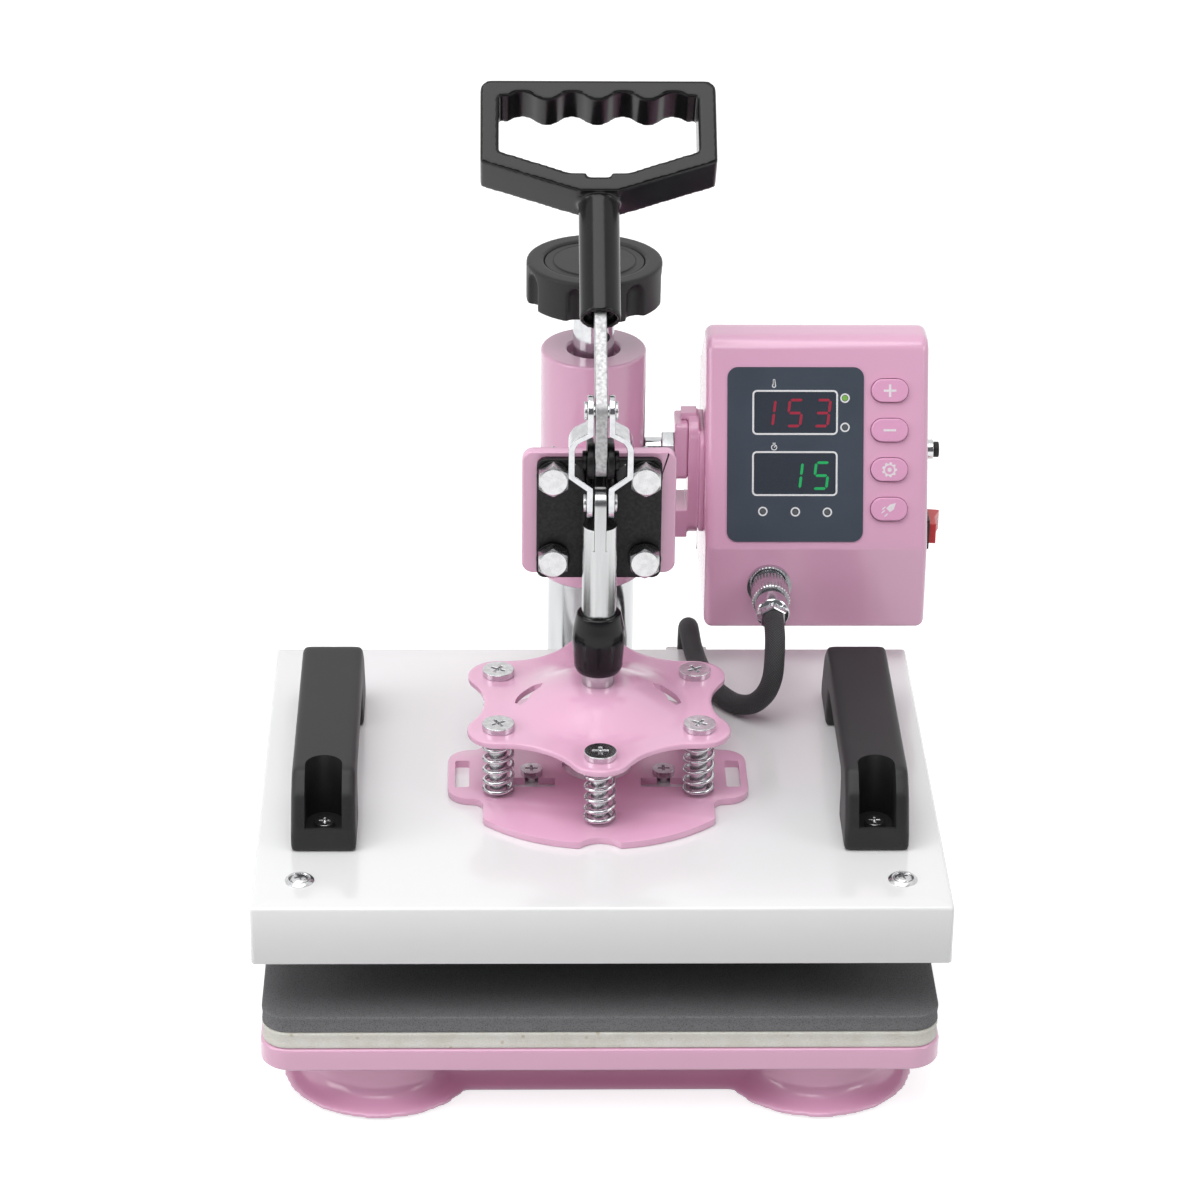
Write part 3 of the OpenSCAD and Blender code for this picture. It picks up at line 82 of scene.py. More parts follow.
# Studio. A white table and a white room: one broad soft box overhead, one at the left and a weak
# one at the right. The table takes the shadow, and metal sees a darker wall behind the camera.
class Tone:
    """One socket of a node tree. Sums and products of tones become Math nodes."""

    def __init__(self, tree, socket=None):
        self.tree, self.socket = tree, socket

    def node(self, kind, put=None, out=0, **settings):
        """Adds a node: its settings first, then the values and links of its sockets."""
        made = self.tree.nodes.new(kind if "Node" in kind else "ShaderNode" + kind)
        for key, value in settings.items():
            setattr(made, key, value)
        for key, value in (put or {}).items():
            if isinstance(value, Tone):
                self.tree.links.new(value.socket, made.inputs[key])
            else:
                colour = made.inputs[key].type == "RGBA"
                made.inputs[key].default_value = (*value, 1) if colour else value
        return Tone(self.tree, made.outputs[out] if made.outputs else None)

    def other(self, name):
        return Tone(self.tree, self.socket.node.outputs[name])

    def into(self, shader, name):
        self.tree.links.new(self.socket, shader.inputs[name])
        return self

    def maths(self, operation, *terms):
        return self.node("Math", dict(enumerate(terms)), operation=operation)

    def ramp(self, low, high):
        """0 at low and below, 1 at high and above, smooth between."""
        return self.node("MapRange", {"Value": self, "From Min": low, "From Max": high},
                         interpolation_type="SMOOTHSTEP")

    def between(self, a, b):
        """Colour a where the tone is 0, colour b where it is 1."""
        return self.node("Mix", {0: self, 6: a, 7: b}, out=2, data_type="RGBA")

    def place(self):
        """Where a point lies on the piece."""
        return self.node("TexCoord", out="Object")

    def noise(self, place, scale, detail):
        return self.node("TexNoise", {"Vector": place, "Scale": scale, "Detail": detail})

    def reaching_eye(self):
        """From a light path: 1 on rays that end in the eye, straight, mirrored or through glass."""
        rays = self + self.other("Is Glossy Ray") + self.other("Is Transmission Ray")
        return self.maths("MINIMUM", rays, 1.0)


for sign, operation in (("add", "ADD"), ("sub", "SUBTRACT"), ("mul", "MULTIPLY"), ("truediv", "DIVIDE")):
    setattr(Tone, f"__{sign}__", lambda a, b, kind=operation: a.maths(kind, a, b))
    setattr(Tone, f"__r{sign}__", lambda a, b, kind=operation: a.maths(kind, b, a))

room = bpy.data.worlds.new("room")
room.use_nodes = True
room.node_tree.nodes.clear()
bpy.context.scene.world = room
air = Tone(room.node_tree)
ray = air.node("LightPath", out="Is Camera Ray")
seen = ray.reaching_eye()
facing = air.node("SeparateXYZ", {0: air.node("TexCoord", out="Generated")}, out="Y")
dark_wall = (1 - facing.ramp(-0.75, 0.1)) * ray.other("Is Glossy Ray") * (1 - ray)
shown = air.node("Background", {"Color": dark_wall.between((1, 1, 1), (0.16, 0.16, 0.17))})
fill = air.node("Background", {"Color": (1, 1, 1), "Strength": 0.38})
air.node("OutputWorld", {"Surface": air.node("MixShader", {0: seen, 1: fill, 2: shown})})

for name, place, aim, size, watts in (
        ("top_box", (-0.3, -0.7, 2.1), (0, -0.12, 0.1), 1.9, 31),
        ("left_box", (-1.9, -0.9, 1.1), (0, -0.1, 0.15), 1.3, 15),
        ("right_box", (1.9, -1.1, 1.3), (0, -0.1, 0.15), 0.9, 8)):
    glow = bpy.data.lights.new(name, "AREA")
    glow.size, glow.energy = size, watts
    lamp = added(name, glow)
    lamp.location = place
    lamp.rotation_euler = (Vector(aim) - Vector(place)).to_track_quat("-Z", "Y").to_euler()

table_mesh = bpy.data.meshes.new("table")
table_mesh.from_pydata([(-6, -6, 0), (6, -6, 0), (6, 6, 0), (-6, 6, 0)], [], [(0, 1, 2, 3)])
table = added("table", table_mesh)
table_white = bpy.data.materials.new("table_white")
table_white.use_nodes = True
table_white.node_tree.nodes.clear()
top = Tone(table_white.node_tree)
ray = top.node("LightPath", out="Is Camera Ray")
seen = ray.reaching_eye()
matt = top.node("BsdfDiffuse", {"Color": (0.55, 0.55, 0.55)})
bright = top.node("Emission", {"Color": (1, 1, 1), "Strength": seen * 0.74})
top.node("OutputMaterial", {"Surface": top.node("AddShader", {0: matt, 1: bright})})
table_mesh.materials.append(table_white)


# Heater cord. A braided black lead, 9.5 mm thick, that carries the mains from the plug under the
# panel to the heat plate: it drops from the plug, lies on the cover and dips into the gland behind.
def finish(name, **shader):
    """A material with these constants on its shader, and a tone to build the rest from."""
    made = bpy.data.materials.new(name)
    made.use_nodes = True
    surface = made.node_tree.nodes["Principled BSDF"]
    for key, value in shader.items():
        surface.inputs[key.replace("_", " ").title().replace("Ior", "IOR")].default_value = value
    return made, Tone(made.node_tree), surface


def bumped(tone, height, strength, distance, surface):
    """Sends a height, as parts of the distance, to the shader's normal."""
    tone.node("Bump", {"Height": height, "Strength": strength, "Distance": distance}).into(surface, "Normal")


def piece_of(name, mesh, material, body, *stands_for, slot=None):
    """A finished mesh as a piece that rides on a body, stands for CAD nodes and carries the material; slot is
    not used.
    """
    mesh.materials.clear()
    mesh.materials.append(material)
    piece = added(name, mesh)
    if body:
        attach(piece, body)
    if stands_for:
        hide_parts(*stands_for)
    return piece


def smooth(mesh, corner=40):
    mesh.shade_smooth()
    mesh.set_sharp_from_angle(angle=radians(corner))
    return mesh


cord_points = [Vector(p) / 1000 for p in (
    (83.6, -82, 155), (83.6, -88, 155), (83.5, -97, 152.5), (83, -104, 146), (82, -107, 137),
    (79, -105.5, 128), (73.5, -101, 120.5), (66.5, -94.5, 117.2), (60, -86, 117.1), (55.5, -76, 117.1),
    (52.5, -65, 117.1), (50, -53, 117.6), (48, -41, 119.8), (47.2, -30, 121.6), (47, -21.5, 120.2),
    (47, -14.5, 115.5), (47, -10.8, 109), (47, -10, 102), (47, -10, 94.5))]
cord_line = []
for i in range(len(cord_points) - 1):
    a, b, c, d = (cord_points[min(max(i + k, 0), len(cord_points) - 1)] for k in (-1, 0, 1, 2))
    for t in np.arange(0, 1, 0.1):
        cord_line.append(0.5 * (2 * b + (c - a) * t + (2 * a - 5 * b + 4 * c - d) * t * t
                                + (3 * b - a - 3 * c + d) * t ** 3))
cord_line.append(cord_points[-1])
cord_radius, cord_sides = 0.00475, 24


def angles(steps):
    return np.arange(steps) * 2 * pi / steps


def polar(r, a, x=0, y=0):
    return x + r * cos(a), y + r * sin(a)


def tube(line, radius, sides):
    """A closed tube along points, with a map: u once round, v in metres along."""
    work = bmesh.new()
    chart = work.loops.layers.uv.new("UVMap")
    rings, along, v = [], [], 0.0
    side = Vector((1, 0, 0))
    for i, p in enumerate(line):
        way = (line[min(i + 1, len(line) - 1)] - line[max(i - 1, 0)]).normalized()
        side = (side - way * side.dot(way)).normalized()
        up = way.cross(side)
        v += (p - line[i - 1]).length if i else 0
        along.append(v)
        rings.append([work.verts.new(p + radius * (cos(a) * side + sin(a) * up))
                      for a in angles(sides)])
    for i in range(len(rings) - 1):
        for k in range(sides):
            n = (k + 1) % sides
            face = work.faces.new((rings[i][k], rings[i][n], rings[i + 1][n], rings[i + 1][k]))
            for loop, (u, w) in zip(face.loops, ((k, i), (k + 1, i), (k + 1, i + 1), (k, i + 1))):
                loop[chart].uv = (u / sides, along[w])
    work.faces.new(rings[0][::-1])
    work.faces.new(rings[-1])
    made = bpy.data.meshes.new("tube")
    work.to_mesh(made)
    work.free()
    return smooth(made)


cord_braid, yarn, skin = finish("cord_braid", roughness=0.62, specular_ior_level=0.35)
chart = yarn.node("SeparateXYZ", {0: yarn.node("TexCoord", out="UV")})
turn, run = chart.other("X") * 12, chart.other("Y") * 460
left = yarn.maths("SINE", (turn + run) * (2 * pi))
right = yarn.maths("SINE", (turn - run) * (2 * pi))
over = (yarn.maths("SINE", turn * (4 * pi)) * yarn.maths("SINE", run * (4 * pi))).ramp(-0.2, 0.2)
crown = yarn.node("Mix", {0: over, 2: yarn.maths("ABSOLUTE", left), 3: yarn.maths("ABSOLUTE", right)},
                  data_type="FLOAT")
fuzz = yarn.noise(yarn.place(), 2600.0, 3.0)
# Paler on the weave's raised strands and darker in the grooves between them: partly the yarn's own tone,
# partly painted highlight and painted shade.
(crown * 0.75 + fuzz * 0.35).between((0.009, 0.009, 0.01), (0.07, 0.07, 0.074)).into(skin, "Base Color")
(0.72 - crown * 0.25).into(skin, "Roughness")
bumped(yarn, crown + fuzz * 0.4, 0.55, 0.0004, skin)
heater_lead = piece_of("heater_lead", tube(cord_line, cord_radius, cord_sides), cord_braid, None,
                       "heater_cord")
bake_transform(heater_lead)


# Base casting. A grey-iron casting with two flared front feet, a cross beam and a spine back to the
# post foot, fettled so that every edge is soft, then enamelled pink.
def merged(node):
    """A CAD piece's triangles as one closed mesh to work on; the piece itself stays as it is."""
    work = bmesh.new()
    work.from_mesh(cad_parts[node].data)
    bmesh.ops.remove_doubles(work, verts=work.verts, dist=2e-6)
    return work


def baked(blank, name):
    """An object's mesh with its modifiers applied; the object itself goes."""
    ready = bpy.context.evaluated_depsgraph_get()
    made = bpy.data.meshes.new_from_object(blank.evaluated_get(ready), preserve_all_data_layers=True,
                                           depsgraph=ready)
    made.name = name
    bpy.data.objects.remove(blank)
    return made


def plain(work, name, *modifiers):
    """A bmesh as a plain mesh, with these modifiers applied: (kind, settings) each."""
    rough = bpy.data.meshes.new(name)
    work.to_mesh(rough)
    work.free()
    rough.shade_smooth()
    if not modifiers:
        return rough
    blank = added("blank", rough)
    for kind, settings in modifiers:
        tool = blank.modifiers.new(kind, kind)
        for key, value in settings.items():
            setattr(tool, key, value)
    return baked(blank, name)


def moulding(grain, rounds):
    """Modifiers that skin a form afresh and rub it soft."""
    return (("REMESH", dict(mode="VOXEL", voxel_size=grain, use_smooth_shade=True)),
            ("SMOOTH", dict(factor=0.5, iterations=rounds)))


def softened(node, grain, rounds, material, body):
    """A CAD piece as it leaves a mould, its edges and corners soft."""
    made = plain(merged(node), node + "_shown", *moulding(grain, rounds))
    return piece_of(node + "_shown", made, material, body, node)


def enamel(name, colour, deep, rough, peel):
    """Sprayed and baked enamel: a faint orange peel, and a shade deeper where it lies thicker."""
    made, spray, surface = finish(name, coat_weight=0.7, coat_roughness=0.12)
    place = spray.place()
    cloud = spray.noise(place, 14.0, 2.0)
    cloud.ramp(0.3, 0.75).between(colour, deep).into(surface, "Base Color")
    wave = spray.noise(place, 330.0, 1.0)
    (rough + wave * 0.05).into(surface, "Roughness")
    bumped(spray, wave, peel, 0.0002, surface)
    return made


pink_enamel = enamel("pink_enamel", (0.77, 0.425, 0.6), (0.76, 0.412, 0.588), 0.22, 0.05)
softened("base_casting", 0.0015, 9, pink_enamel, "base")


# Rubber feet. Black discs stuck under the casting's three feet.
def eased(node, width, material, body, slot=None, segments=2, corner=35, leave_out=None):
    """A copy of a CAD piece with its sharp edges rounded off, standing for the piece."""
    work = merged(node)
    if leave_out:
        bmesh.ops.delete(work, geom=[v for v in work.verts if leave_out(v.co)], context="VERTS")
    bmesh.ops.dissolve_limit(work, angle_limit=radians(0.04), verts=work.verts, edges=work.edges)
    share = work.edges.layers.float.new("bevel_weight_edge")
    for edge in work.edges:
        if len(edge.link_faces) == 2 and edge.calc_face_angle() > radians(corner):
            edge[share] = 1.0
    made = plain(work, node + "_shown",
                 ("BEVEL", dict(width=width, segments=segments, limit_method="WEIGHT",
                                use_clamp_overlap=False, harden_normals=False)),
                 ("WEIGHTED_NORMAL", dict(keep_sharp=True)))
    return piece_of(node + "_shown", made, material, body, node, slot=slot)


rubber, mould, surface = finish("rubber", roughness=0.8)
dust = mould.noise(mould.place(), 300.0, 4.0)
dust.ramp(0.3, 0.8).between((0.012, 0.012, 0.012), (0.035, 0.034, 0.033)).into(surface, "Base Color")
bumped(mould, dust, 0.2, 0.0004, surface)
eased("rubber_feet", 0.0005, rubber, "base")


# Lower platen. A cast aluminium tray, enamelled pink, bolted to the beam from above by countersunk
# bolts that the pads hide.
eased("lower_platen", 0.0016, pink_enamel, "base", segments=3)


def metal(name, colour, dull, rough, spread, scale, stretch=(1, 1, 1), bump=0.05):
    """Bare or plated metal: clouded polish, and fine marks drawn out along one axis."""
    made, bare, surface = finish(name, metallic=1.0)
    place = bare.node("Mapping", {"Vector": bare.place(), "Scale": stretch})
    marks = bare.noise(place, scale, 4.0)
    marks.ramp(0.3, 0.72).between(colour, dull).into(surface, "Base Color")
    (rough + marks * spread).into(surface, "Roughness")
    bumped(bare, marks, bump, 0.0001, surface)
    return made


def keeps(node, material):
    """A CAD piece whose shape is right stays, with this material."""
    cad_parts[node].data.materials.clear()
    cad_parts[node].data.materials.append(material)


steel = metal("steel", (0.45, 0.45, 0.46), (0.3, 0.3, 0.31), 0.3, 0.2, 500.0)
keeps("base_bolts", steel)


# Pads. A stiff cream wool felt on the tray and a grey sponge of silicone on the felt, both cut with
# a knife from sheet; nothing but their weight and a dab of glue holds them.
def outline(half_x, half_y, corner, steps=9):
    """Points round a rectangle with rounded corners, from its right side on."""
    corner = max(corner, 1e-4)
    points = []
    for k, (sx, sy) in enumerate(((1, 1), (-1, 1), (-1, -1), (1, -1))):
        for i in range(steps):
            a = radians(90 * (k + i / (steps - 1)))
            points.append(polar(corner, a, sx * (half_x - corner), sy * (half_y - corner)))
    return points


def strip(work, below, over):
    """Faces between two rings of corners."""
    for k in range(len(below)):
        n = (k + 1) % len(below)
        work.faces.new((below[k], below[n], over[n], over[k]))


def lofted(loops, closed=False):
    """A skin over loops of points, one after the other; its ends capped, or joined where it is closed."""
    work = bmesh.new()
    rings = [[work.verts.new(p) for p in loop] for loop in loops]
    for below, over in zip(rings, rings[1:] + rings[:1] if closed else rings[1:]):
        strip(work, below, over)
    if not closed:
        work.faces.new(rings[0][::-1])
        work.faces.new(rings[-1])
    bmesh.ops.recalc_face_normals(work, faces=work.faces)
    return work


def quarter(ease, steps, start=0):
    """A quarter round: steps (in, up) from the low flat to the wall."""
    return [(ease * (1 - sin(a)), ease * (1 - cos(a))) for a in np.linspace(start, pi / 2, steps)]


def pad(name, node, corner, ease, sag, material):
    """A sheet pad: cut sides that lean in a little at the middle, soft rims, a level top."""
    low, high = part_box(node)
    middle, half = (low + high) / 2, (high - low) / 2
    rows = [(6 * ease, low.z), (ease, low.z)]
    rows += [(d, low.z + up) for d, up in quarter(ease, 4, 0.3)]
    rows += [(sag * sin(pi * t), low.z + ease + t * (2 * half.z - 2 * ease))
             for t in (0.2, 0.4, 0.6, 0.8)]
    rows += [(d, high.z - down) for down, d in quarter(ease, 5)]
    rows += [(ease + d, high.z) for d in (0.002, 0.006, 0.015, 0.04)]
    work = lofted([[(middle.x + x, middle.y + y, z) for x, y in outline(half.x - d, half.y - d, corner - d)]
                   for d, z in rows])
    piece = piece_of(name, smooth(plain(work, name), 50), material, "base", node)
    return piece


felt, wool, surface = finish("felt", roughness=0.95, sheen_weight=0.15, sheen_roughness=0.6)
place = wool.place()
fibre = wool.node("TexNoise", {"Vector": wool.node("Mapping", {"Vector": place, "Scale": (1, 1, 2.5)}),
                               "Scale": 900.0, "Detail": 6.0, "Roughness": 0.7})
tuft = wool.noise(place, 120.0, 3.0)
fleck = wool.node("TexVoronoi", {"Vector": place, "Scale": 130.0}, feature="F1")
speck = 1 - fleck.ramp(0.05, 0.16)
cream = (fibre * 0.6 + tuft * 0.4).ramp(0.3, 0.7).between((0.74, 0.715, 0.63), (0.9, 0.89, 0.84))
(speck * 0.5).between(cream, (0.5, 0.4, 0.25)).into(surface, "Base Color")
bumped(wool, fibre + tuft * 0.5, 0.7, 0.0008, surface)
pad("felt_sheet", "felt_pad", 0.012, 0.0012, 0.0004, felt)

silicone_sponge, foam, surface = finish("silicone_sponge", roughness=0.85, specular_ior_level=0.3)
place = foam.place()
pore = foam.node("TexVoronoi", {"Vector": place, "Scale": 1500.0}, feature="F1").ramp(0.1, 0.5)
blot = foam.noise(place, 60.0, 4.0)
grit = foam.noise(place, 2200.0, 3.0)
shade = (pore * 0.5 + grit * 0.4 + blot * 0.2).ramp(0.2, 0.95)
shade.between((0.09, 0.09, 0.094), (0.2, 0.2, 0.207)).into(surface, "Base Color")
bumped(foam, pore + grit * 0.6, 0.5, 0.0003, surface)
pad("sponge_sheet", "silicone_pad", 0.012, 0.0009, 0.0003, silicone_sponge)


# Post. A thick chromed tube that stands in the casting's rear foot; a threaded nut is pressed into
# its top, and a bolt from below holds it.
post_chrome = metal("post_chrome", (0.62, 0.63, 0.64), (0.5, 0.51, 0.52), 0.1, 0.14, 60.0, (1, 1, 0.2),
                    bump=0.1)
eased("post", 0.0006, post_chrome, "base", "chrome")
keeps("post_nut", steel)
keeps("thrust_bearing", steel)


# Swing sleeve and arm. A steel tube with a cap, welded to an arm and the mount plate, all enamelled
# pink in one go; two bronze bushes inside let it turn and slide on the post.
eased("swing_sleeve", 0.0013, pink_enamel, "carriage", segments=3)
eased("arm", 0.0008, pink_enamel, "carriage")
eased("mount_plate", 0.001, pink_enamel, "carriage")
bronze = metal("brass", (0.62, 0.43, 0.16), (0.45, 0.3, 0.1), 0.25, 0.2, 400.0)
keeps("sleeve_bushes", bronze)


# Height screw. A steel screw turned by a moulded hand knob with seven finger flutes; a chromed
# collar under the knob carries the black set screw that holds it.
def moulded(name, colour, worn, rough, grain, bump, shine=0.5):
    """Moulded plastic: spark-eroded grain, a little paler where it rubs."""
    made, melt, surface = finish(name, specular_ior_level=shine)
    place = melt.place()
    fine = melt.noise(place, grain, 3.0)
    broad = melt.noise(place, 45.0, 2.0)
    (fine * 0.5 + broad * 0.5).ramp(0.35, 0.7).between(colour, worn).into(surface, "Base Color")
    (rough + broad * 0.12).into(surface, "Roughness")
    bumped(melt, fine, bump, 0.00012, surface)
    return made


chrome = metal("chrome", (0.66, 0.67, 0.68), (0.56, 0.57, 0.59), 0.08, 0.1, 300.0, bump=0.02)
dark_steel = metal("dark_steel", (0.034, 0.034, 0.035), (0.025, 0.025, 0.026), 0.4, 0.08, 700.0)
grey_plastic = moulded("grey_plastic", (0.017, 0.017, 0.018), (0.023, 0.023, 0.024),
                       0.4, 1800.0, 0.2, 0.32)
keeps("lead_screw", steel)
eased("knob_collar", 0.0004, chrome, "knob")
keeps("set_screw", dark_steel)
softened("pressure_knob", 0.0007, 8, grey_plastic, "knob")
eased("knob_cap", 0.0005, grey_plastic, "knob")


# Toggle base. Black-oxide steel: a plate with two ears that hold the pivot pin, and behind the rod
# a stem with the glossy black barrel that guides the plunger.
black_plastic = moulded("black_plastic", (0.005, 0.005, 0.006), (0.008, 0.008, 0.009),
                        0.13, 500.0, 0.04, 0.3)
softened("toggle_base", 0.0006, 3, dark_steel, "carriage")
eased("pivot_pin", 0.0004, dark_steel, "carriage")
eased("guide_barrel", 0.0006, black_plastic, "carriage", corner=50)


# Toggle bolts. Four bright zinc hex bolts, turned to a round chamfer on the head, on black washers whose thin
# dark rims round the heads also stand in as painted shade; their nuts sit behind the mount plate.
def grown(name, grow, points=(), **sizes):
    """Runs a tree of geometry nodes once, with named inputs, and gives its result as a plain mesh."""
    tree = bpy.data.node_groups.new(name, "GeometryNodeTree")
    tree.interface.new_socket("Mesh", in_out="OUTPUT", socket_type="NodeSocketGeometry")
    tree.interface.new_socket("Places", in_out="INPUT", socket_type="NodeSocketGeometry")
    kinds = {float: "Float", int: "Int", bpy.types.Object: "Object", bpy.types.Material: "Material"}
    keys = {}
    for key, value in sizes.items():
        kind = "NodeSocket" + kinds[type(value)]
        keys[key] = tree.interface.new_socket(key, in_out="INPUT", socket_type=kind).identifier
    entry, end = tree.nodes.new("NodeGroupInput"), tree.nodes.new("NodeGroupOutput")
    result = grow(*(Tone(tree, socket) for socket in entry.outputs if socket.name))
    tree.links.new(result.socket, end.inputs[0])
    blank = added(name, bpy.data.meshes.new(name))
    blank.data.from_pydata(points, [], [])
    tool = blank.modifiers.new(name, "NODES")
    tool.node_group = tree
    for key, value in sizes.items():
        tool[keys[key]] = value
    return baked(blank, name)


def copied(spots, model, material):
    """Geometry nodes: the model at each spot, as plain mesh with its material."""
    copies = spots.node("GeometryNodeInstanceOnPoints", {"Points": spots, "Instance": model})
    whole = spots.node("GeometryNodeRealizeInstances", {"Geometry": copies})
    return spots.node("GeometryNodeSetMaterial", {"Geometry": whole, "Material": material})


def set_out(places, pattern, material):
    """Geometry nodes: the pattern at each place."""
    model = places.node("GeometryNodeObjectInfo", {"Object": pattern}, out="Geometry")
    return copied(places, model, material)


def repeated(name, pattern, places, material, body, *stands_for, slot=None, corner=40):
    """One piece made of a pattern mesh set out at these places."""
    model = added("pattern", pattern)
    made = grown(name, set_out, places, Pattern=model, Material=material)
    bpy.data.objects.remove(model)
    return piece_of(name, smooth(made, corner), material, body, *stands_for, slot=slot)


def turned(profile, sides=48, axis="z", shape=None, closed=False, at=(0, 0, 0)):
    """A lathe of (radius, height) points round an axis through at; shape(angle, radius) scales the radius."""
    loops = []
    for r, h in profile:
        loop = []
        for a in angles(sides):
            k = r * (shape(a, r) if shape else 1)
            x, y = polar(k, a)
            loop.append(Vector(at) + Vector({"z": (x, y, h), "y": (x, h, -y), "x": (h, x, y)}[axis]))
        loops.append(loop)
    return lofted(loops, closed)


def joined(whole, *parts):
    """The first form with the others added to it."""
    for part in parts:
        whole.from_mesh(plain(part, "part"))
    return whole


def hexagon(a, r):
    return 1 / cos((a + pi / 6) % (pi / 3) - pi / 6)


def hex_bolt(across, head, shank, length, nut_from, nut):
    """A hex bolt along Y with the head at the front, chamfered to a circle, and a nut at the back."""
    half = across / 2
    flat = 0.93 * half

    def chamfered(front, back):
        loops = []
        for r, h, hexed in ((0.3 * half, front, 0), (flat, front, 0), (half, front, 2), (half, back, 1)):
            loop = []
            for a in angles(72):
                k = r * (hexagon(a, r) if hexed else 1)
                drop = (k - flat) * 0.58 if hexed == 2 else 0
                loop.append((k * cos(a), h + copysign(drop, back - front), k * sin(a)))
            loops.append(loop)
        return lofted(loops)

    rod = turned(((shank, 0), (shank, length)), 24, "y")
    return plain(joined(chamfered(-head, 0), rod, chamfered(nut_from + nut, nut_from)), "hex_bolt")


bolt_zinc = metal("bolt_zinc", (0.66, 0.66, 0.67), (0.57, 0.57, 0.58), 0.2, 0.14, 300.0)
zinc = metal("zinc", (0.7, 0.7, 0.71), (0.56, 0.56, 0.57), 0.17, 0.12, 350.0)
low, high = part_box("toggle_bolts")
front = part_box("toggle_washers")[0].y
bolt_half_x, bolt_rows, across_flats, shank_r, nut_high = 0.0206, (0.2127, 0.2532), 0.013, 0.004, 0.0065
bolt_places = [(sx * bolt_half_x, front, z) for sx in (-1, 1) for z in bolt_rows]
nut_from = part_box("mount_plate")[1].y - front
bolt = hex_bolt(across_flats, front - low.y, shank_r, high.y - front, nut_from, nut_high)
repeated("toggle_bolts_shown", bolt, bolt_places, bolt_zinc, "carriage", "toggle_bolts",
         slot="chrome", corner=25)
# Dark steel washers: the thin rims that show round the heads are partly painted shade under the heads.
eased("toggle_washers", 0.0003, dark_steel, "carriage")


# Lever and grip. A galvanised flat bar on the pivot pin, bent back at the links' rivet and pushed
# into the stem of a glossy black D grip with four finger waves.
galvanised = metal("galvanised", (0.5, 0.5, 0.505), (0.33, 0.33, 0.335), 0.42, 0.2, 650.0, bump=0.2)
eased("lever_bar", 0.0006, galvanised, "lever", "zinc")
softened("grip", 0.0008, 10, black_plastic, "lever")


# Links. Two chromed strips, pressed out round the ears, riveted to the lever above and to the
# plunger's tongue below.
eased("toggle_links", 0.0004, chrome, "links", corner=50)
eased("link_rivets", 0.0004, zinc, "links")


# Plunger. A chromed rod slides in the barrel; a flat tongue let into its front takes the links'
# rivets, and a round collar nut clamps the star plate on its lower end.
rod_steel = metal("rod_steel", (0.6, 0.605, 0.61), (0.44, 0.445, 0.45), 0.16, 0.16, 120.0, (1, 1, 0.08))
eased("plunger", 0.0002, rod_steel, "plunger", "chrome", corner=60)
eased("plunger_nuts", 0.0004, rod_steel, "plunger", "chrome")


# Star plate. Pink sheet steel, blanked with six lobes and pressed to a low dome with two curved
# slots; the rod's collar nut holds its middle, and the spring bolts hang in its lobes.
star_low, star_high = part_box("star_plate")
plunger_y, star_thick, lobe_at, lobe_r = -0.15, 0.003, 0.052, 0.014
star_edge, crown_r, slope, brim_r = star_low.z + star_thick, 0.011, 0.032, 0.043
waist = lobe_at - 0.0005
half_pitch, middle_r = lobe_at / 2, lobe_at * cos(pi / 6)
bite_r = (half_pitch ** 2 + (waist - middle_r) ** 2 - lobe_r ** 2) / (2 * (lobe_r - waist + middle_r))
bite_at = waist + bite_r
bite = Vector((bite_at * cos(pi / 6), bite_at * sin(pi / 6)))
meet = bite + (Vector((lobe_at, 0)) - bite).normalized() * bite_r


def star_rim(a):
    """Distance from the rod to the rim: round a lobe, then along the bite between two lobes."""
    b = abs(a % (pi / 3) - pi / 6)
    if b < atan2(meet.y, meet.x):
        return lobe_at * cos(b) + sqrt(lobe_r ** 2 - (lobe_at * sin(b)) ** 2)
    off = bite_at * sin(pi / 6 - b)
    return bite_at * cos(pi / 6 - b) - sqrt(bite_r ** 2 - off ** 2)


def dome(r):
    """Height of the plate's top: level crown and brim, a soft slope between."""
    t = min(max((r - crown_r) / slope, 0), 1)
    return star_edge + (star_high.z - star_edge) * (1 - t * t * (3 - 2 * t))


mm, ease = 0.001, 0.0009
steps = [radians(a) for a in np.arange(0, 360, 1.5)]
star_loops = [[(r * mm, a, 0.0) for a in steps]
              for r in (5.3, 8, 11, 14, 17, 20, 23, 26, 29, 32, 35, 38, 41, 43)]
star_loops += [[(brim_r + (star_rim(a) - ease - brim_r) * share, a, 0.0) for a in steps]
               for share in (0.25, 0.5, 0.75, 0.95)]
for t in (0.4, 0.8, 1.2, pi / 2):
    star_loops.append([(star_rim(a) - ease * (1 - sin(t)), a, -ease * (1 - cos(t))) for a in steps])
under = [[(r, a, -star_thick - drop) for r, a, drop in loop] for loop in star_loops[::-1]]
loops = [[(*polar(r, a, 0, plunger_y), dome(r) + drop) for r, a, drop in loop]
         for loop in star_loops + under]


def punched(work, name, cutter, *before):
    """A form as a plain mesh, with the cutter's bits taken out of it after these modifiers."""
    punch = added("punch", plain(cutter, "punch"))
    made = plain(work, name, *before,
                 ("BOOLEAN", dict(operation="DIFFERENCE", solver="EXACT", use_self=True, object=punch)))
    bpy.data.objects.remove(punch)
    return made


def prism(points, low, high):
    """A straight bar over these points, from one height to another."""
    return lofted([[(x, y, z) for x, y in points] for z in (low, high)])


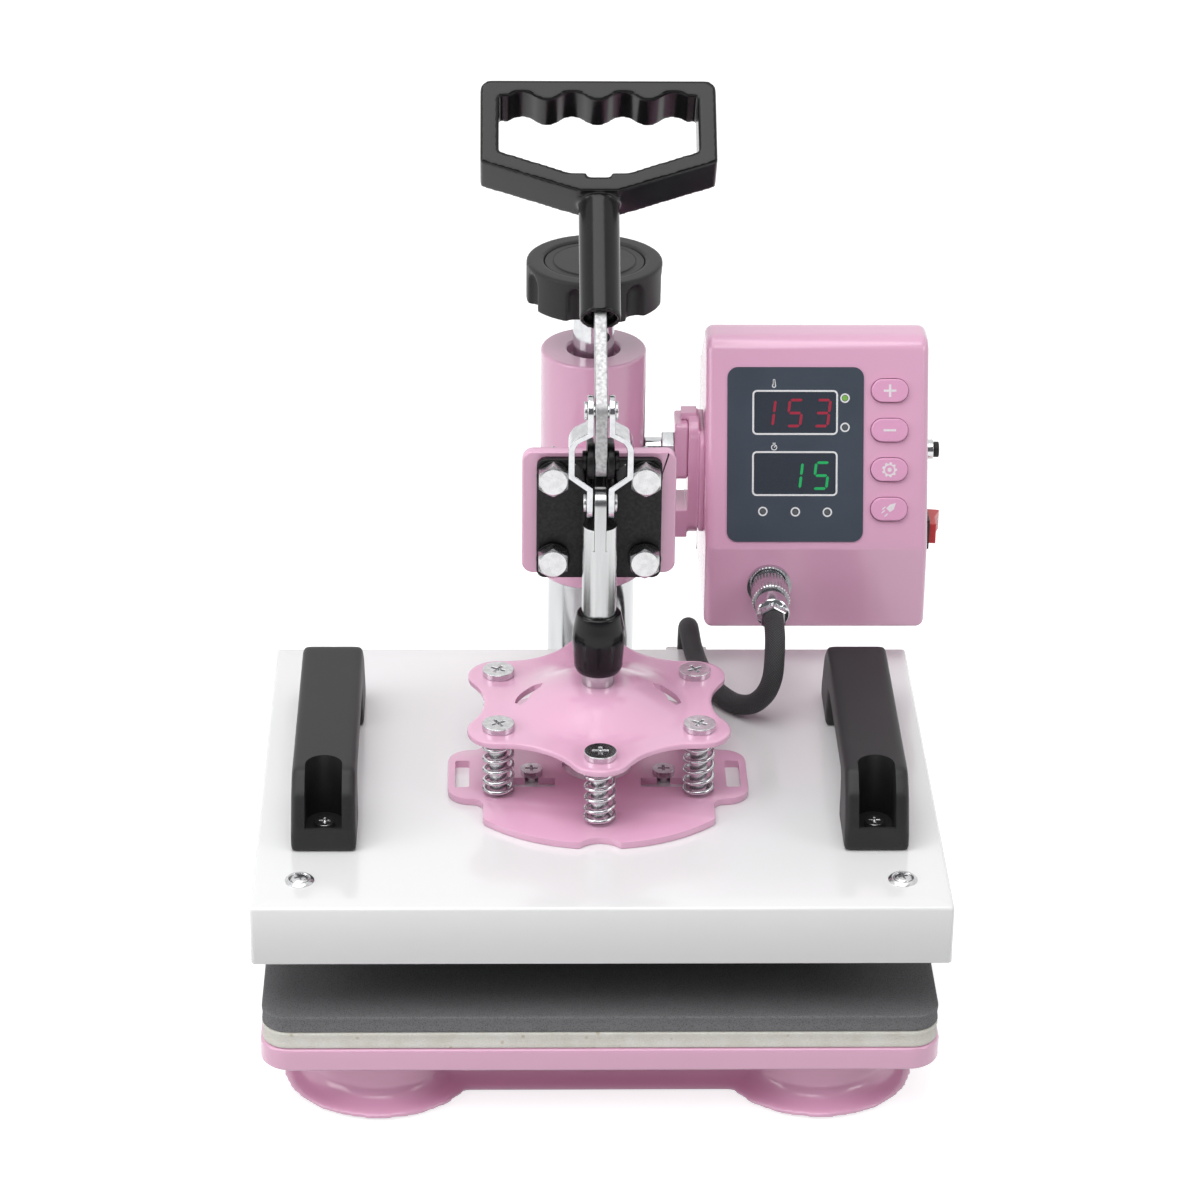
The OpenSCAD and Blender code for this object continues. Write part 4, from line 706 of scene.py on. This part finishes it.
hole_r, slot_at, slot_turn = 0.00405, (0.031, 0.0015), 53
slot_half, slot_bow, slot_wide = 0.0062, 0.002, 0.003
below, over = star_low.z - 0.01, star_high.z + 0.01
cutter = bmesh.new()
for a in np.radians(range(30, 390, 60)):
    joined(cutter, turned(((hole_r, below), (hole_r, over)), 32, at=(*polar(lobe_at, a, 0, plunger_y), 0)))
for side in (-1, 1):
    middle = Vector((side * slot_at[0], plunger_y + slot_at[1]))
    turn = Matrix.Rotation(radians(-side * slot_turn), 2)
    arc = [middle + turn @ Vector((side * slot_half * t, slot_bow * (1 - t * t)))
           for t in np.linspace(-1, 1, 9)]
    across = [(q - p).normalized() * slot_wide for p, q in zip(arc[:1] + arc, arc[1:] + arc[-1:])]
    across[0], across[-1] = across[1], across[-2]
    out = [Vector((-d.y, d.x)) for d in across]
    rim = [p + d for p, d in zip(arc, out)] + [arc[-1] + across[-1] * 0.9]
    rim += [p - d for p, d in zip(arc, out)][::-1] + [arc[0] - across[0] * 0.9]
    joined(cutter, prism(rim, below, over))
work = lofted(loops, closed=True)
star = punched(work, "star_plate_shown", cutter)
piece_of("star_plate_shown", smooth(star, 42), pink_enamel, "plunger", "star_plate")


# Springs. Six springs of 2 mm wire with closed ends stand round their sleeved bolts between the star
# plate and the bracket, so the platen can float level on the work.
def coil(places, wire, radius, turns, length, circle, steel):
    """Geometry nodes: one wire wound with a closed turn at each end, at six places on a circle."""
    share = places.node("GeometryNodeSplineParameter", out="Factor")
    turn = share * turns
    low, close = wire * 0.55, wire * 1.25
    open_pitch = (length - 2 * low - 2 * close) / (turns - 2)
    ends = places.maths("MINIMUM", turn, 1.0) + places.maths("MAXIMUM", turn - turns + 1, 0.0)
    middle = places.maths("MINIMUM", places.maths("MAXIMUM", turn - 1, 0.0), turns - 2)
    angle = turn * (2 * pi)
    x, y = places.maths("COSINE", angle) * radius, places.maths("SINE", angle) * radius
    spot = places.node("CombineXYZ", {0: x, 1: y, 2: low + ends * close + middle * open_pitch})
    line = places.node("GeometryNodeCurvePrimitiveLine")
    line = places.node("GeometryNodeResampleCurve", {"Curve": line, "Count": 217})
    line = places.node("GeometryNodeSetPosition", {"Geometry": line, "Position": spot})
    ring = places.node("GeometryNodeCurvePrimitiveCircle", {"Resolution": 12, "Radius": wire / 2})
    spring = places.node("GeometryNodeCurveToMesh", {"Curve": line, "Profile Curve": ring, "Fill Caps": True})
    spots = places.node("GeometryNodeMeshCircle", {"Vertices": 6, "Radius": circle})
    spots = places.node("GeometryNodeTransform", {"Geometry": spots, "Translation": spring_foot,
                                                  "Rotation": (0, 0, pi / 6)})
    return copied(spots, spring, steel)


spring_foot = (0, plunger_y, 0.1155)
spring_steel = metal("spring_steel", (0.72, 0.72, 0.73), (0.6, 0.6, 0.62), 0.1, 0.12, 200.0, bump=0.03)
wound = grown("springs", coil, Wire=0.002, Radius=0.0063, Turns=6.0, Length=0.0295, Circle=lobe_at,
              Material=spring_steel)
springs = piece_of("float_springs_shown", smooth(wound), spring_steel, "platen", "float_springs",
                   slot="chrome")
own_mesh(springs)
eased("spring_bolts", 0.0003, zinc, "platen")


# Platen bracket. A pink steel plate, round at front and back, with two slotted ears and keyholes
# that hook under screws in the cover.
def arc_of(r, start, stop, count, y=0):
    """Points on a circle from one angle to another, with no corner radius."""
    return [(*polar(r, t, 0, y), 0) for t in np.linspace(start, stop, count)]


def rounded(spot, u, v, radius, steps):
    """A corner between the ways u and v as an arc of points."""
    half, inward = u.angle(v) / 2, (u + v).normalized()
    middle = spot + inward * radius / sin(half)
    first, last = (way / tan(half) - inward / sin(half) for way in (u, v))
    return [middle + first.lerp(last, t).normalized() * radius for t in np.linspace(0, 1, steps)]


low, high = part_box("platen_bracket")
disc_r, bite_r, bite_y, side_x = 72, 11.5, -78.4, 52
meet_y = (bite_r ** 2 - disc_r ** 2 - bite_y ** 2) / (-2 * bite_y)
meet_a, side_a = asin(meet_y / disc_r), acos(side_x / disc_r)
side_y = sqrt(disc_r ** 2 - side_x ** 2)
bite_a = acos(disc_r * cos(meet_a) / bite_r)
right = arc_of(bite_r, pi / 2, bite_a, 6, bite_y)[:-1]
right += [(disc_r * cos(meet_a), meet_y, 2)] + arc_of(disc_r, meet_a, -side_a, 14)[1:-1]
right += [(side_x, -side_y, 5), (side_x, -32, 5.3), (68, -32, 10.3), (68, 14, 10.3), (side_x, 14, 5.3),
          (side_x, side_y, 5)] + arc_of(disc_r, side_a, pi / 2, 14)[1:]
rim = []
for k, (x, y, radius) in enumerate(right):
    spot = Vector((x, y))
    if radius:
        u, v = ((Vector(right[k + d][:2]) - spot).normalized() for d in (-1, 1))
        rim += rounded(spot, u, v, radius, 8)
    else:
        rim.append(spot)
rim += [Vector((-p.x, p.y)) for p in rim[-2:0:-1]]
ear_x, ear_y, ear_slot, key_r, key_x, key_rows = 61.5, -9, (3.25, 12.25, 1.2), 3, 30, (-9, 40)
bits = [[(s * ear_x + x, y + ear_y) for x, y in outline(*ear_slot, 4)] for s in (-1, 1)]
bores = [(0, 0, 16)] + [(*polar(side_x, a), 3.15) for a in np.radians(range(30, 390, 60))]
bits += [[polar(r, t, x, y) for t in angles(24)] for x, y, r in bores]
keyhole = [(-3, -3.7), (-10.5, -3.7), (-10.5, -12.3), (10.5, -12.3), (10.5, -3.7), (3, -3.7)]
keyhole += [polar(key_r, t) for t in np.linspace(0, pi, 9)]
bits += [[(x + a, y + b) for a, b in keyhole] for x in (-key_x, key_x) for y in key_rows]
cutter = bmesh.new()
for bit in bits:
    joined(cutter, prism([(x * mm, y * mm + plunger_y) for x, y in bit], low.z - 0.005, high.z + 0.005))
plate = prism([(p.x * mm, p.y * mm + plunger_y) for p in rim], low.z, high.z)
plate = punched(plate, "platen_bracket_shown", cutter,
                ("BEVEL", dict(width=0.0006, segments=2, limit_method="ANGLE", angle_limit=radians(60))))
piece_of("platen_bracket_shown", smooth(plate, 35), pink_enamel, "platen", "platen_bracket")


# Platen cover. White enamelled sheet steel, folded down on four sides over the heat plate and its
# wool, and held by four screws on cup washers.
white_enamel = enamel("white_enamel", (0.85, 0.85, 0.855), (0.84, 0.84, 0.846), 0.15, 0.02)
low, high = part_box("platen_cover")
middle, half = (low + high) / 2, (high - low) / 2
sheet, fold, cover_corner = 0.0012, 0.0016, 0.0018
rows = [(inset, high.z - sheet) for inset in (0.05, 0.01, sheet + fold)] + [
        (sheet, high.z - sheet - fold),
        (sheet, low.z + 0.0002), (sheet - 0.0003, low.z), (0.0003, low.z), (0, low.z + 0.0003)]
rows += [(d, high.z - down) for down, d in quarter(fold, 6)]
rows += [(0.01, high.z), (0.05, high.z)]
work = lofted([[(middle.x + x, middle.y + y, z)
                for x, y in outline(half.x - d, half.y - d, cover_corner - min(d, 0.001), 5)]
               for d, z in rows])
cover = smooth(plain(work, "platen_cover_shown"), 50)
piece_of("platen_cover_shown", cover, white_enamel, "platen", "platen_cover")
eased("cord_gland", 0.0012, white_enamel, "platen")


# Platen screws. Zinc screws hold the bracket and the handles; four more, sunk in cup washers, hold the
# cover's corners and are turned here with their crossed slots.
eased("platen_screws", 0.0002, zinc, "platen", leave_out=lambda v: abs(v.y - middle.y) > 0.085)
cup = turned([(r * mm, h * mm) for r, h in (
    (6.4, 0.02), (6.4, 0.3), (5.4, 1.25), (4.9, 1.4), (4.5, 1.3), (4.1, 0.5), (3.9, 0.5), (3.85, 0.9),
    (3.5, 1.3), (2.5, 1.65), (1.2, 1.8), (0.1, 1.82))])
arms = ((2.3, 0.5), (0.5, 0.5), (0.5, 2.3))
cross = [Matrix.Rotation(radians(90 * k + 20), 2) @ Vector(p) * mm for k in range(4) for p in arms]
cup = punched(cup, "cup", prism(cross, 0.0008, 0.003))
screw_in_x, screw_in_y = 0.0205, 0.024
corners = [(sx * (half.x - screw_in_x), middle.y + sy * (half.y - screw_in_y), high.z)
           for sx in (-1, 1) for sy in (-1, 1)]
repeated("corner_screws", cup, corners, zinc, "platen", corner=30)


# Heat plate and wool. A cast aluminium plate with a black non-stick face, under a blanket of
# mineral wool that the cover hides.
wool_board = moulded("mineral_wool", (0.5, 0.45, 0.3), (0.4, 0.36, 0.25), 0.85, 700.0, 0.8)
keeps("insulation", wool_board)
coated = moulded("coated_aluminium", (0.03, 0.03, 0.031), (0.045, 0.045, 0.046), 0.3, 1500.0, 0.2)
eased("heat_plate", 0.001, coated, "platen")


# Side handles. Two bridge handles moulded in dark grey plastic with well rounded edges; at both ends a
# pocket, round at the back and open over a low lip, leads down to the screw.
low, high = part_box("side_handles")
reach = (high.y - low.y) / 2
end = [(15, 34), (5.5, 25.5), (0, 11), (0, 0), (32, 0), (35, 20)]
end = [(reach - y * mm, z * mm) for y, z in end]
side = end + [(-y, z) for y, z in end[::-1]]
half_thick, draft = 0.0145, 0.012
form = lofted([[(s * (half_thick - draft * z), y, z) for y, z in side] for s in (-1, 1)])
pockets = bmesh.new()
for way, back, half_w in ((-1, 0.0192, 0.0082), (1, 0.0095, 0.0055)):
    for wall, z0, z1 in ((0.002, 0.005, 0.0116), (-0.01, 0.0114, 0.05)):
        plan = [polar(half_w, -a, 0, reach - back) for a in np.linspace(0, pi, 17)]
        plan += [(-half_w, reach - wall), (half_w, reach - wall)]
        joined(pockets, prism([(x, way * y) for x, y in plan], z0, z1))
handle = punched(form, "handle", pockets, *moulding(0.0009, 45))
places = [(x, (low.y + high.y) / 2, low.z) for x in (low.x + half_thick, high.x - half_thick)]
repeated("side_handles_shown", handle, places, grey_plastic, "platen", "side_handles")


# Box hanger. A chromed bolt in the sleeve's side, a pink steel block on it, and a hanger with a broad
# flange that is welded to the control box.
eased("bracket_bolt", 0.0004, chrome, "carriage")
eased("bracket_block", 0.0012, pink_enamel, "carriage", segments=3)
softened("box_hanger", 0.0005, 6, pink_enamel, "carriage")


# Control box. Pink sheet steel, folded round a tilted face with broad soft bends and welded at the
# sides; four slots take the buttons, and round and square holes the plug, the switch and the fuse.
box_low, box_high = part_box("box_shell")
face_tilt, crease = radians(22), Vector((box_low.y, 0.174))
face_up = Vector((sin(face_tilt), cos(face_tilt)))
face_out = Vector((-face_up.y, face_up.x))
face_end = crease + face_up * 0.096
rear_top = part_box("box_rear_cover")[1].z
box_profile = [(Vector((box_low.y, box_low.z)), 0.002), (Vector((box_high.y, box_low.z)), 0),
               (Vector((box_high.y, rear_top)), 0), (Vector((face_end.x + 0.021, box_high.z)), 0.012),
               (Vector((face_end.x + 0.005, box_high.z)), 0.008), (face_end, 0.008), (crease, 0.005)]


def moved_in(profile, depth):
    """The profile with its sides moved in and its corners rounded; the back stays where it is."""
    points = []
    for k, (b, radius) in enumerate(profile):
        a, c = profile[k - 1][0], profile[(k + 1) % len(profile)][0]
        u, v = (a - b).normalized(), (c - b).normalized()
        b = b + (u + v).normalized() * depth / sin(u.angle(v) / 2)
        if radius:
            points += rounded(b, u, v, max(radius - depth, 0.0005), 7)
        else:
            points.append(Vector((box_high.y, b.y)))
    return points


def box_form(x0, x1, depth, ease):
    """The box as a closed form between two sides, its side edges eased."""
    rows = [(d, x0 + up) for d, up in quarter(ease, 6)]
    rows += [(d, x0 + x1 - x) for d, x in rows[::-1]]
    return lofted([[(x, p.x, p.y) for p in moved_in(box_profile, depth + d)] for d, x in rows])


def on_face(x, w, lift=0.0):
    """A point on the tilted face, in mm: x along the box, w up from the crease, lift out of the face."""
    p = crease + (face_up * w + face_out * lift) * mm
    return Vector((x * mm, p.x, p.y))


def pill(x, w, length, width, steps=12):
    """Points round a slot with round ends."""
    r, run = width / 2, (length - width) / 2
    return [polar(r, radians(a + 180 * t), x + dx, w)
            for dx, a in ((run, -90), (-run, 90)) for t in np.linspace(0, 1, steps)]


def block(centre, size):
    """A plain block with this centre and these sizes."""
    work = bmesh.new()
    bmesh.ops.create_cube(work, size=1.0, matrix=Matrix.LocRotScale(centre, None, size))
    return work


box_wall, side_ease, plug_hole, fuse_hole, hole_deep = 0.0025, 0.0042, 0.00815, 0.00415, 0.006
plug_at, fuse_at, rocker_at = (0.0836, 0, 0.155), (0, -0.002, 0.206), (box_high.x, -0.02, 0.174)
buttons, button_x = {"plus": 74.8, "minus": 56.1, "set": 37.4, "start": 18.7}, 139.8
button_long, button_wide, loose = 17.5, 11, 0.3
slots = [pill(button_x, w, button_long + 2 * loose, button_wide + 2 * loose) for w in buttons.values()]
cutter = joined(
    box_form(box_low.x + box_wall, box_high.x - box_wall, box_wall, 0.002),
    block(((box_low.x + box_high.x) / 2, box_high.y, (box_low.z + rear_top) / 2),
          (box_high.x - box_low.x - 2 * box_wall, 0.012, rear_top - box_low.z - 2 * box_wall)),
    *(lofted([[on_face(x, w, lift) for x, w in slot] for lift in (-6, 3)]) for slot in slots),
    turned([(plug_hole, box_low.y + y) for y in (-0.002, hole_deep)], 40, "y", at=plug_at),
    turned([(fuse_hole, box_high.x + x) for x in (-hole_deep, 0.002)], 32, "x", at=fuse_at),
    block(rocker_at, (0.012, 0.019, 0.012)))
shell = punched(box_form(box_low.x, box_high.x, 0, side_ease), "box_shell_shown", cutter)
piece_of("box_shell_shown", smooth(shell, 32), pink_enamel, "carriage", "box_shell")
eased("box_rear_cover", 0.0004, pink_enamel, "carriage")
eased("box_screws", 0.0002, zinc, "carriage")


# Panel. A slate film stuck on the face, printed in white: frames round the two displays, rings round
# the signal lamps and two small signs. The lit digits and the one lit lamp show through it.
def inked(work, loops, low=0.6, high=0.66, spot=on_face):
    """Adds a printed patch between an outer and an inner loop of face points, or inside one loop."""
    rings = [[work.verts.new(spot(x, w, lift)) for x, w in loop] for loop in loops for lift in (low, high)]
    if len(loops) == 1:
        work.faces.new(rings[0][::-1])
        work.faces.new(rings[1])
        strips = [(0, 1)]
    else:
        strips = [(0, 1), (1, 3), (3, 2), (2, 0)]
    for i, j in strips:
        strip(work, rings[i], rings[j])


def ring_of(x, w, radius, steps=28):
    return [polar(radius, a, x, w) for a in angles(steps)]


def frame_of(x0, x1, w0, w1, corner, inset=0.0):
    return [((x0 + x1) / 2 + x, (w0 + w1) / 2 + w)
            for x, w in outline((x1 - x0) / 2 - inset, (w1 - w0) / 2 - inset, corner - inset, 6)]


def stroke(work, points, width, *lifts):
    """An open printed line of even width, its ends square."""
    points = [Vector(p) for p in points]
    sides = []
    for k in range(len(points)):
        way = (points[min(k + 1, len(points) - 1)] - points[max(k - 1, 0)]).normalized() * width / 2
        sides.append(Vector((-way.y, way.x)))
    back = [p - s for p, s in zip(points, sides)][::-1]
    inked(work, [[p + s for p, s in zip(points, sides)] + back], *lifts)


def printed(name, work, material, body, slot):
    bmesh.ops.recalc_face_normals(work, faces=work.faces)
    return piece_of(name, smooth(plain(work, name), 30), material, body, slot=slot)


def ink(name, colour, glow=0.0, rough=0.45):
    """Screen ink, a little uneven; lit where a lamp stands behind it."""
    made, film, surface = finish(name, roughness=rough, emission_strength=glow)
    grain = film.noise(film.place(), 1500.0, 2.0)
    shade = grain.ramp(0.2, 0.8).between(colour, [0.86 * c for c in colour])
    shade.into(surface, "Base Color")
    if glow:
        shade.into(surface, "Emission Color")
    return made


panel_film = moulded("panel_film", (0.047, 0.062, 0.085), (0.053, 0.069, 0.095), 0.32, 2400.0, 0.15)
keeps("panel_overlay", panel_film)
circuit_board = moulded("circuit_board", (0.02, 0.1, 0.04), (0.03, 0.14, 0.06), 0.35, 300.0, 0.2)
keeps("control_board", circuit_board)
marks, smoke, lamps, lit = (bmesh.new() for _ in range(4))
window_corner, frame_line, gap_line = 2.2, 0.85, 0.95
for window in ((74.8, 115.3, 53.8, 75.0), (74.8, 115.3, 24.9, 46.1)):
    inked(marks, [frame_of(*window, window_corner, inset) for inset in (0.0, frame_line)])
    inked(smoke, [frame_of(*window, window_corner, gap_line)], 0.6, 0.63)
lit_place = (118.6, 71.2)
inked(lit, [ring_of(*lit_place, 1.3)])
for spot in (lit_place, (118.7, 57.4), (80, 17.6), (95.4, 17.4), (110.6, 17.2)):
    inked(marks, [ring_of(*spot, r) for r in (2.25, 1.55)])
    if spot != lit_place:
        inked(lamps, [ring_of(*spot, 1.1)])
bulb_x, bulb_w, watch = 85, 77, (85.2, 47.9)
stem = [polar(r, radians(a), bulb_x, w)
        for w, r, turns in ((79.6, 0.55, range(0, 181, 30)), (bulb_w, 1.0, range(123, 418, 30)))
        for a in turns]
inner = [(bulb_x + (x - bulb_x) * 0.5, bulb_w + (w - bulb_w) * (0.92 if w > 78.5 else 0.55)) for x, w in stem]
inked(marks, [stem, inner])
inked(marks, [ring_of(*watch, r) for r in (1.45, 1.05)])
stroke(marks, [watch, (85.9, 48.6)], 0.4)
stroke(marks, [(84.5, 49.85), (85.9, 49.85)], 0.45)
for name, work, material in (
        ("panel_marks", marks, ink("white_ink", (0.82, 0.83, 0.84))),
        ("display_windows", smoke, ink("smoked_film", (0.039, 0.049, 0.067), rough=0.25)),
        ("signal_lamps", lamps, ink("dark_lamp", (0.1, 0.11, 0.12))),
        ("lit_lamp", lit, ink("green_lamp", (0.16, 0.36, 0.06), 0.3))):
    printed(name, work, material, "carriage", "panel_film")

bars = {"a": (0, 2, 1, 2), "b": (1, 2, 1, 1), "c": (1, 1, 1, 0), "d": (0, 0, 1, 0), "f": (0, 1, 0, 2),
        "g": (0, 1, 1, 1)}
digit_bars = {"1": "bc", "3": "abcdg", "5": "acdfg"}
digit_wide, digit_high, bar, lean = 7.4, 13.5, 1.25, 0.115


def digit(work, sign, x, w):
    """One digit of seven leaning bars, each pointed at its ends."""
    across, up = digit_wide - bar, (digit_high - bar) / 2
    for key in digit_bars[sign]:
        x0, w0, x1, w1 = bars[key]
        p, q = Vector((x0 * across, w0 * up)), Vector((x1 * across, w1 * up))
        way = (q - p).normalized()
        side, tip = Vector((-way.y, way.x)) * bar / 2, way * bar / 2
        p, q = p + way * bar * 0.22, q - way * bar * 0.22
        loop = [p, p + tip + side, q - tip + side, q, q - tip - side, p + tip - side]
        inked(work, [[(x + bar / 2 + v.x + lean * v.y, w + bar / 2 + v.y) for v in loop]], 0.62, 0.68)


red, green = bmesh.new(), bmesh.new()
for work, w, signs in ((red, 57.4, (("1", 77.6), ("5", 90.6), ("3", 103.6))),
                       (green, 27.8, (("1", 90.6), ("5", 103.2)))):
    for sign, x in signs:
        digit(work, sign, x, w)
printed("red_digits", red, ink("red_glow", (0.27, 0.012, 0.035), 0.45), "carriage", "panel_film")
printed("green_digits", green, ink("green_glow", (0.007, 0.31, 0.085), 0.5), "carriage", "panel_film")


# Buttons. Four pink push buttons with round ends behind slots in the face; white signs are printed
# on them: more, less, settings and start.
pink_plastic = moulded("pink_plastic", (0.76, 0.37, 0.58), (0.78, 0.39, 0.6), 0.24, 900.0, 0.06)
button_ink = ink("button_ink", (0.86, 0.8, 0.84))
button_top, sign_line, gear_teeth = (1.98, 2.05), 1.1, 9
for which, w in buttons.items():
    eased("button_" + which, 0.0007, pink_plastic, "button_" + which, segments=3, corner=60)
    sign, x = bmesh.new(), button_x
    if which in ("plus", "minus"):
        stroke(sign, [(x - 3, w), (x + 3, w)], sign_line, *button_top)
    if which == "plus":
        for way in (1, -1):
            stroke(sign, [(x, w + way * 0.55), (x, w + way * 3)], sign_line, *button_top)
    if which == "set":
        turns = [(i + k) * tau / gear_teeth for i in range(gear_teeth) for k in (-0.3, -0.2, 0.2, 0.3)]
        teeth = [polar(r, a, x, w) for a, r in zip(turns, (2.9, 3.6, 3.6, 2.9) * gear_teeth)]
        bore = [polar(2.2, a, x, w) for a in turns]
        inked(sign, [teeth, bore], *button_top)
        inked(sign, [ring_of(x, w, 1, 16)], *button_top)
    if which == "start":
        arrow = ((3.2, 3.0), (0.2, 2.2), (-1.4, 0.4), (0.4, -1.4), (2.2, 0.0))
        inked(sign, [[(x + a, w + b) for a, b in arrow]], *button_top)
        for a, b in ((-1.6, 1.4), (-1.9, -0.3), (-0.5, -1.9)):
            stroke(sign, [(x + a - 1.7, w + b - 1.5), (x + a - 0.2, w + b - 0.2)], 0.55, *button_top)
    printed("sign_" + which, sign, button_ink, "button_" + which, "pink_plastic")


# Power switch and fuse. A red rocker in a black bezel, marked with a ring and a bar, and a chromed
# fuse holder with a dark slotted cap, both in the box's right side.
softened("rocker_bezel", 0.0003, 4, black_plastic, "carriage")
red_plastic = moulded("red_plastic", (0.62, 0.045, 0.05), (0.66, 0.06, 0.065), 0.25, 600.0, 0.05)
eased("rocker", 0.0005, red_plastic, "rocker", corner=30)
rocker_tilt, rocker_face, mark_at = radians(10), 0.0044, 4.6


def on_rocker(along, z, lift):
    """A point on the rocker's two-sided face, in mm: along it from the pivot, and lift out of it."""
    along, z, lift = along * mm, z * mm, lift * mm
    out = rocker_face + abs(along) * tan(rocker_tilt) + lift
    return Vector((rocker_at[0] + 0.001 + out * cos(rocker_tilt) + along * sin(rocker_tilt),
                   rocker_at[1] - out * sin(rocker_tilt) + along * cos(rocker_tilt),
                   rocker_at[2] + z))


sign = bmesh.new()
stripe = [(-mark_at + x, z) for x, z in ((0.3, 2), (-0.3, 2), (-0.3, -2), (0.3, -2))]
for loops in ([ring_of(mark_at, 0, r) for r in (2, 1.4)], [stripe]):
    inked(sign, loops, 0.02, 0.1, on_rocker)
printed("rocker_marks", sign, button_ink, "rocker", "red_plastic")
eased("fuse_holder", 0.0003, chrome, "carriage")
eased("fuse_cap", 0.0003, grey_plastic, "fuse_cap")


# Inlet. A moulded socket for a mains lead, set in the rear cover from behind and held by its own
# flange, with three pins.
eased("power_inlet", 0.0005, black_plastic, "carriage")


# Plug. A round metal plug on a socket with a flange: a knurled ring, a turned body, and a six-sided
# clamp that grips the cord.
def plug_part(node, profile, material, shape, closed=False):
    """A part of the plug, turned on its axis: (radius, distance from the box) in mm."""
    work = turned([(r * mm, box_low.y - out * mm) for r, out in profile], 216, "y", shape, closed, plug_at)
    return piece_of(node + "_shown", smooth(plain(work, node), 35), material, "carriage", node)


def knurl(a, r):
    return 1 - 0.016 * (1 + cos(36 * a)) if r > 0.0089 else 1


def clamp(a, r):
    return hexagon(a, r) if r < 0.0059 else 1


keeps("panel_socket", chrome)
plug_part("plug_ring", ((7.1, 19), (8.5, 19), (9, 18.5), (9, 5.5), (8.5, 5), (8.1, 5), (8.1, 8.9),
                        (7.1, 8.9)), zinc, knurl, True)
plug_part("plug_body", ((5.2, 37), (5.7, 36.6), (5.7, 32.3), (6.1, 32), (7.2, 31.6), (7.75, 31), (7.75, 22.6),
                        (7.3, 22), (7, 21.8), (7, 9.1)), chrome, clamp)
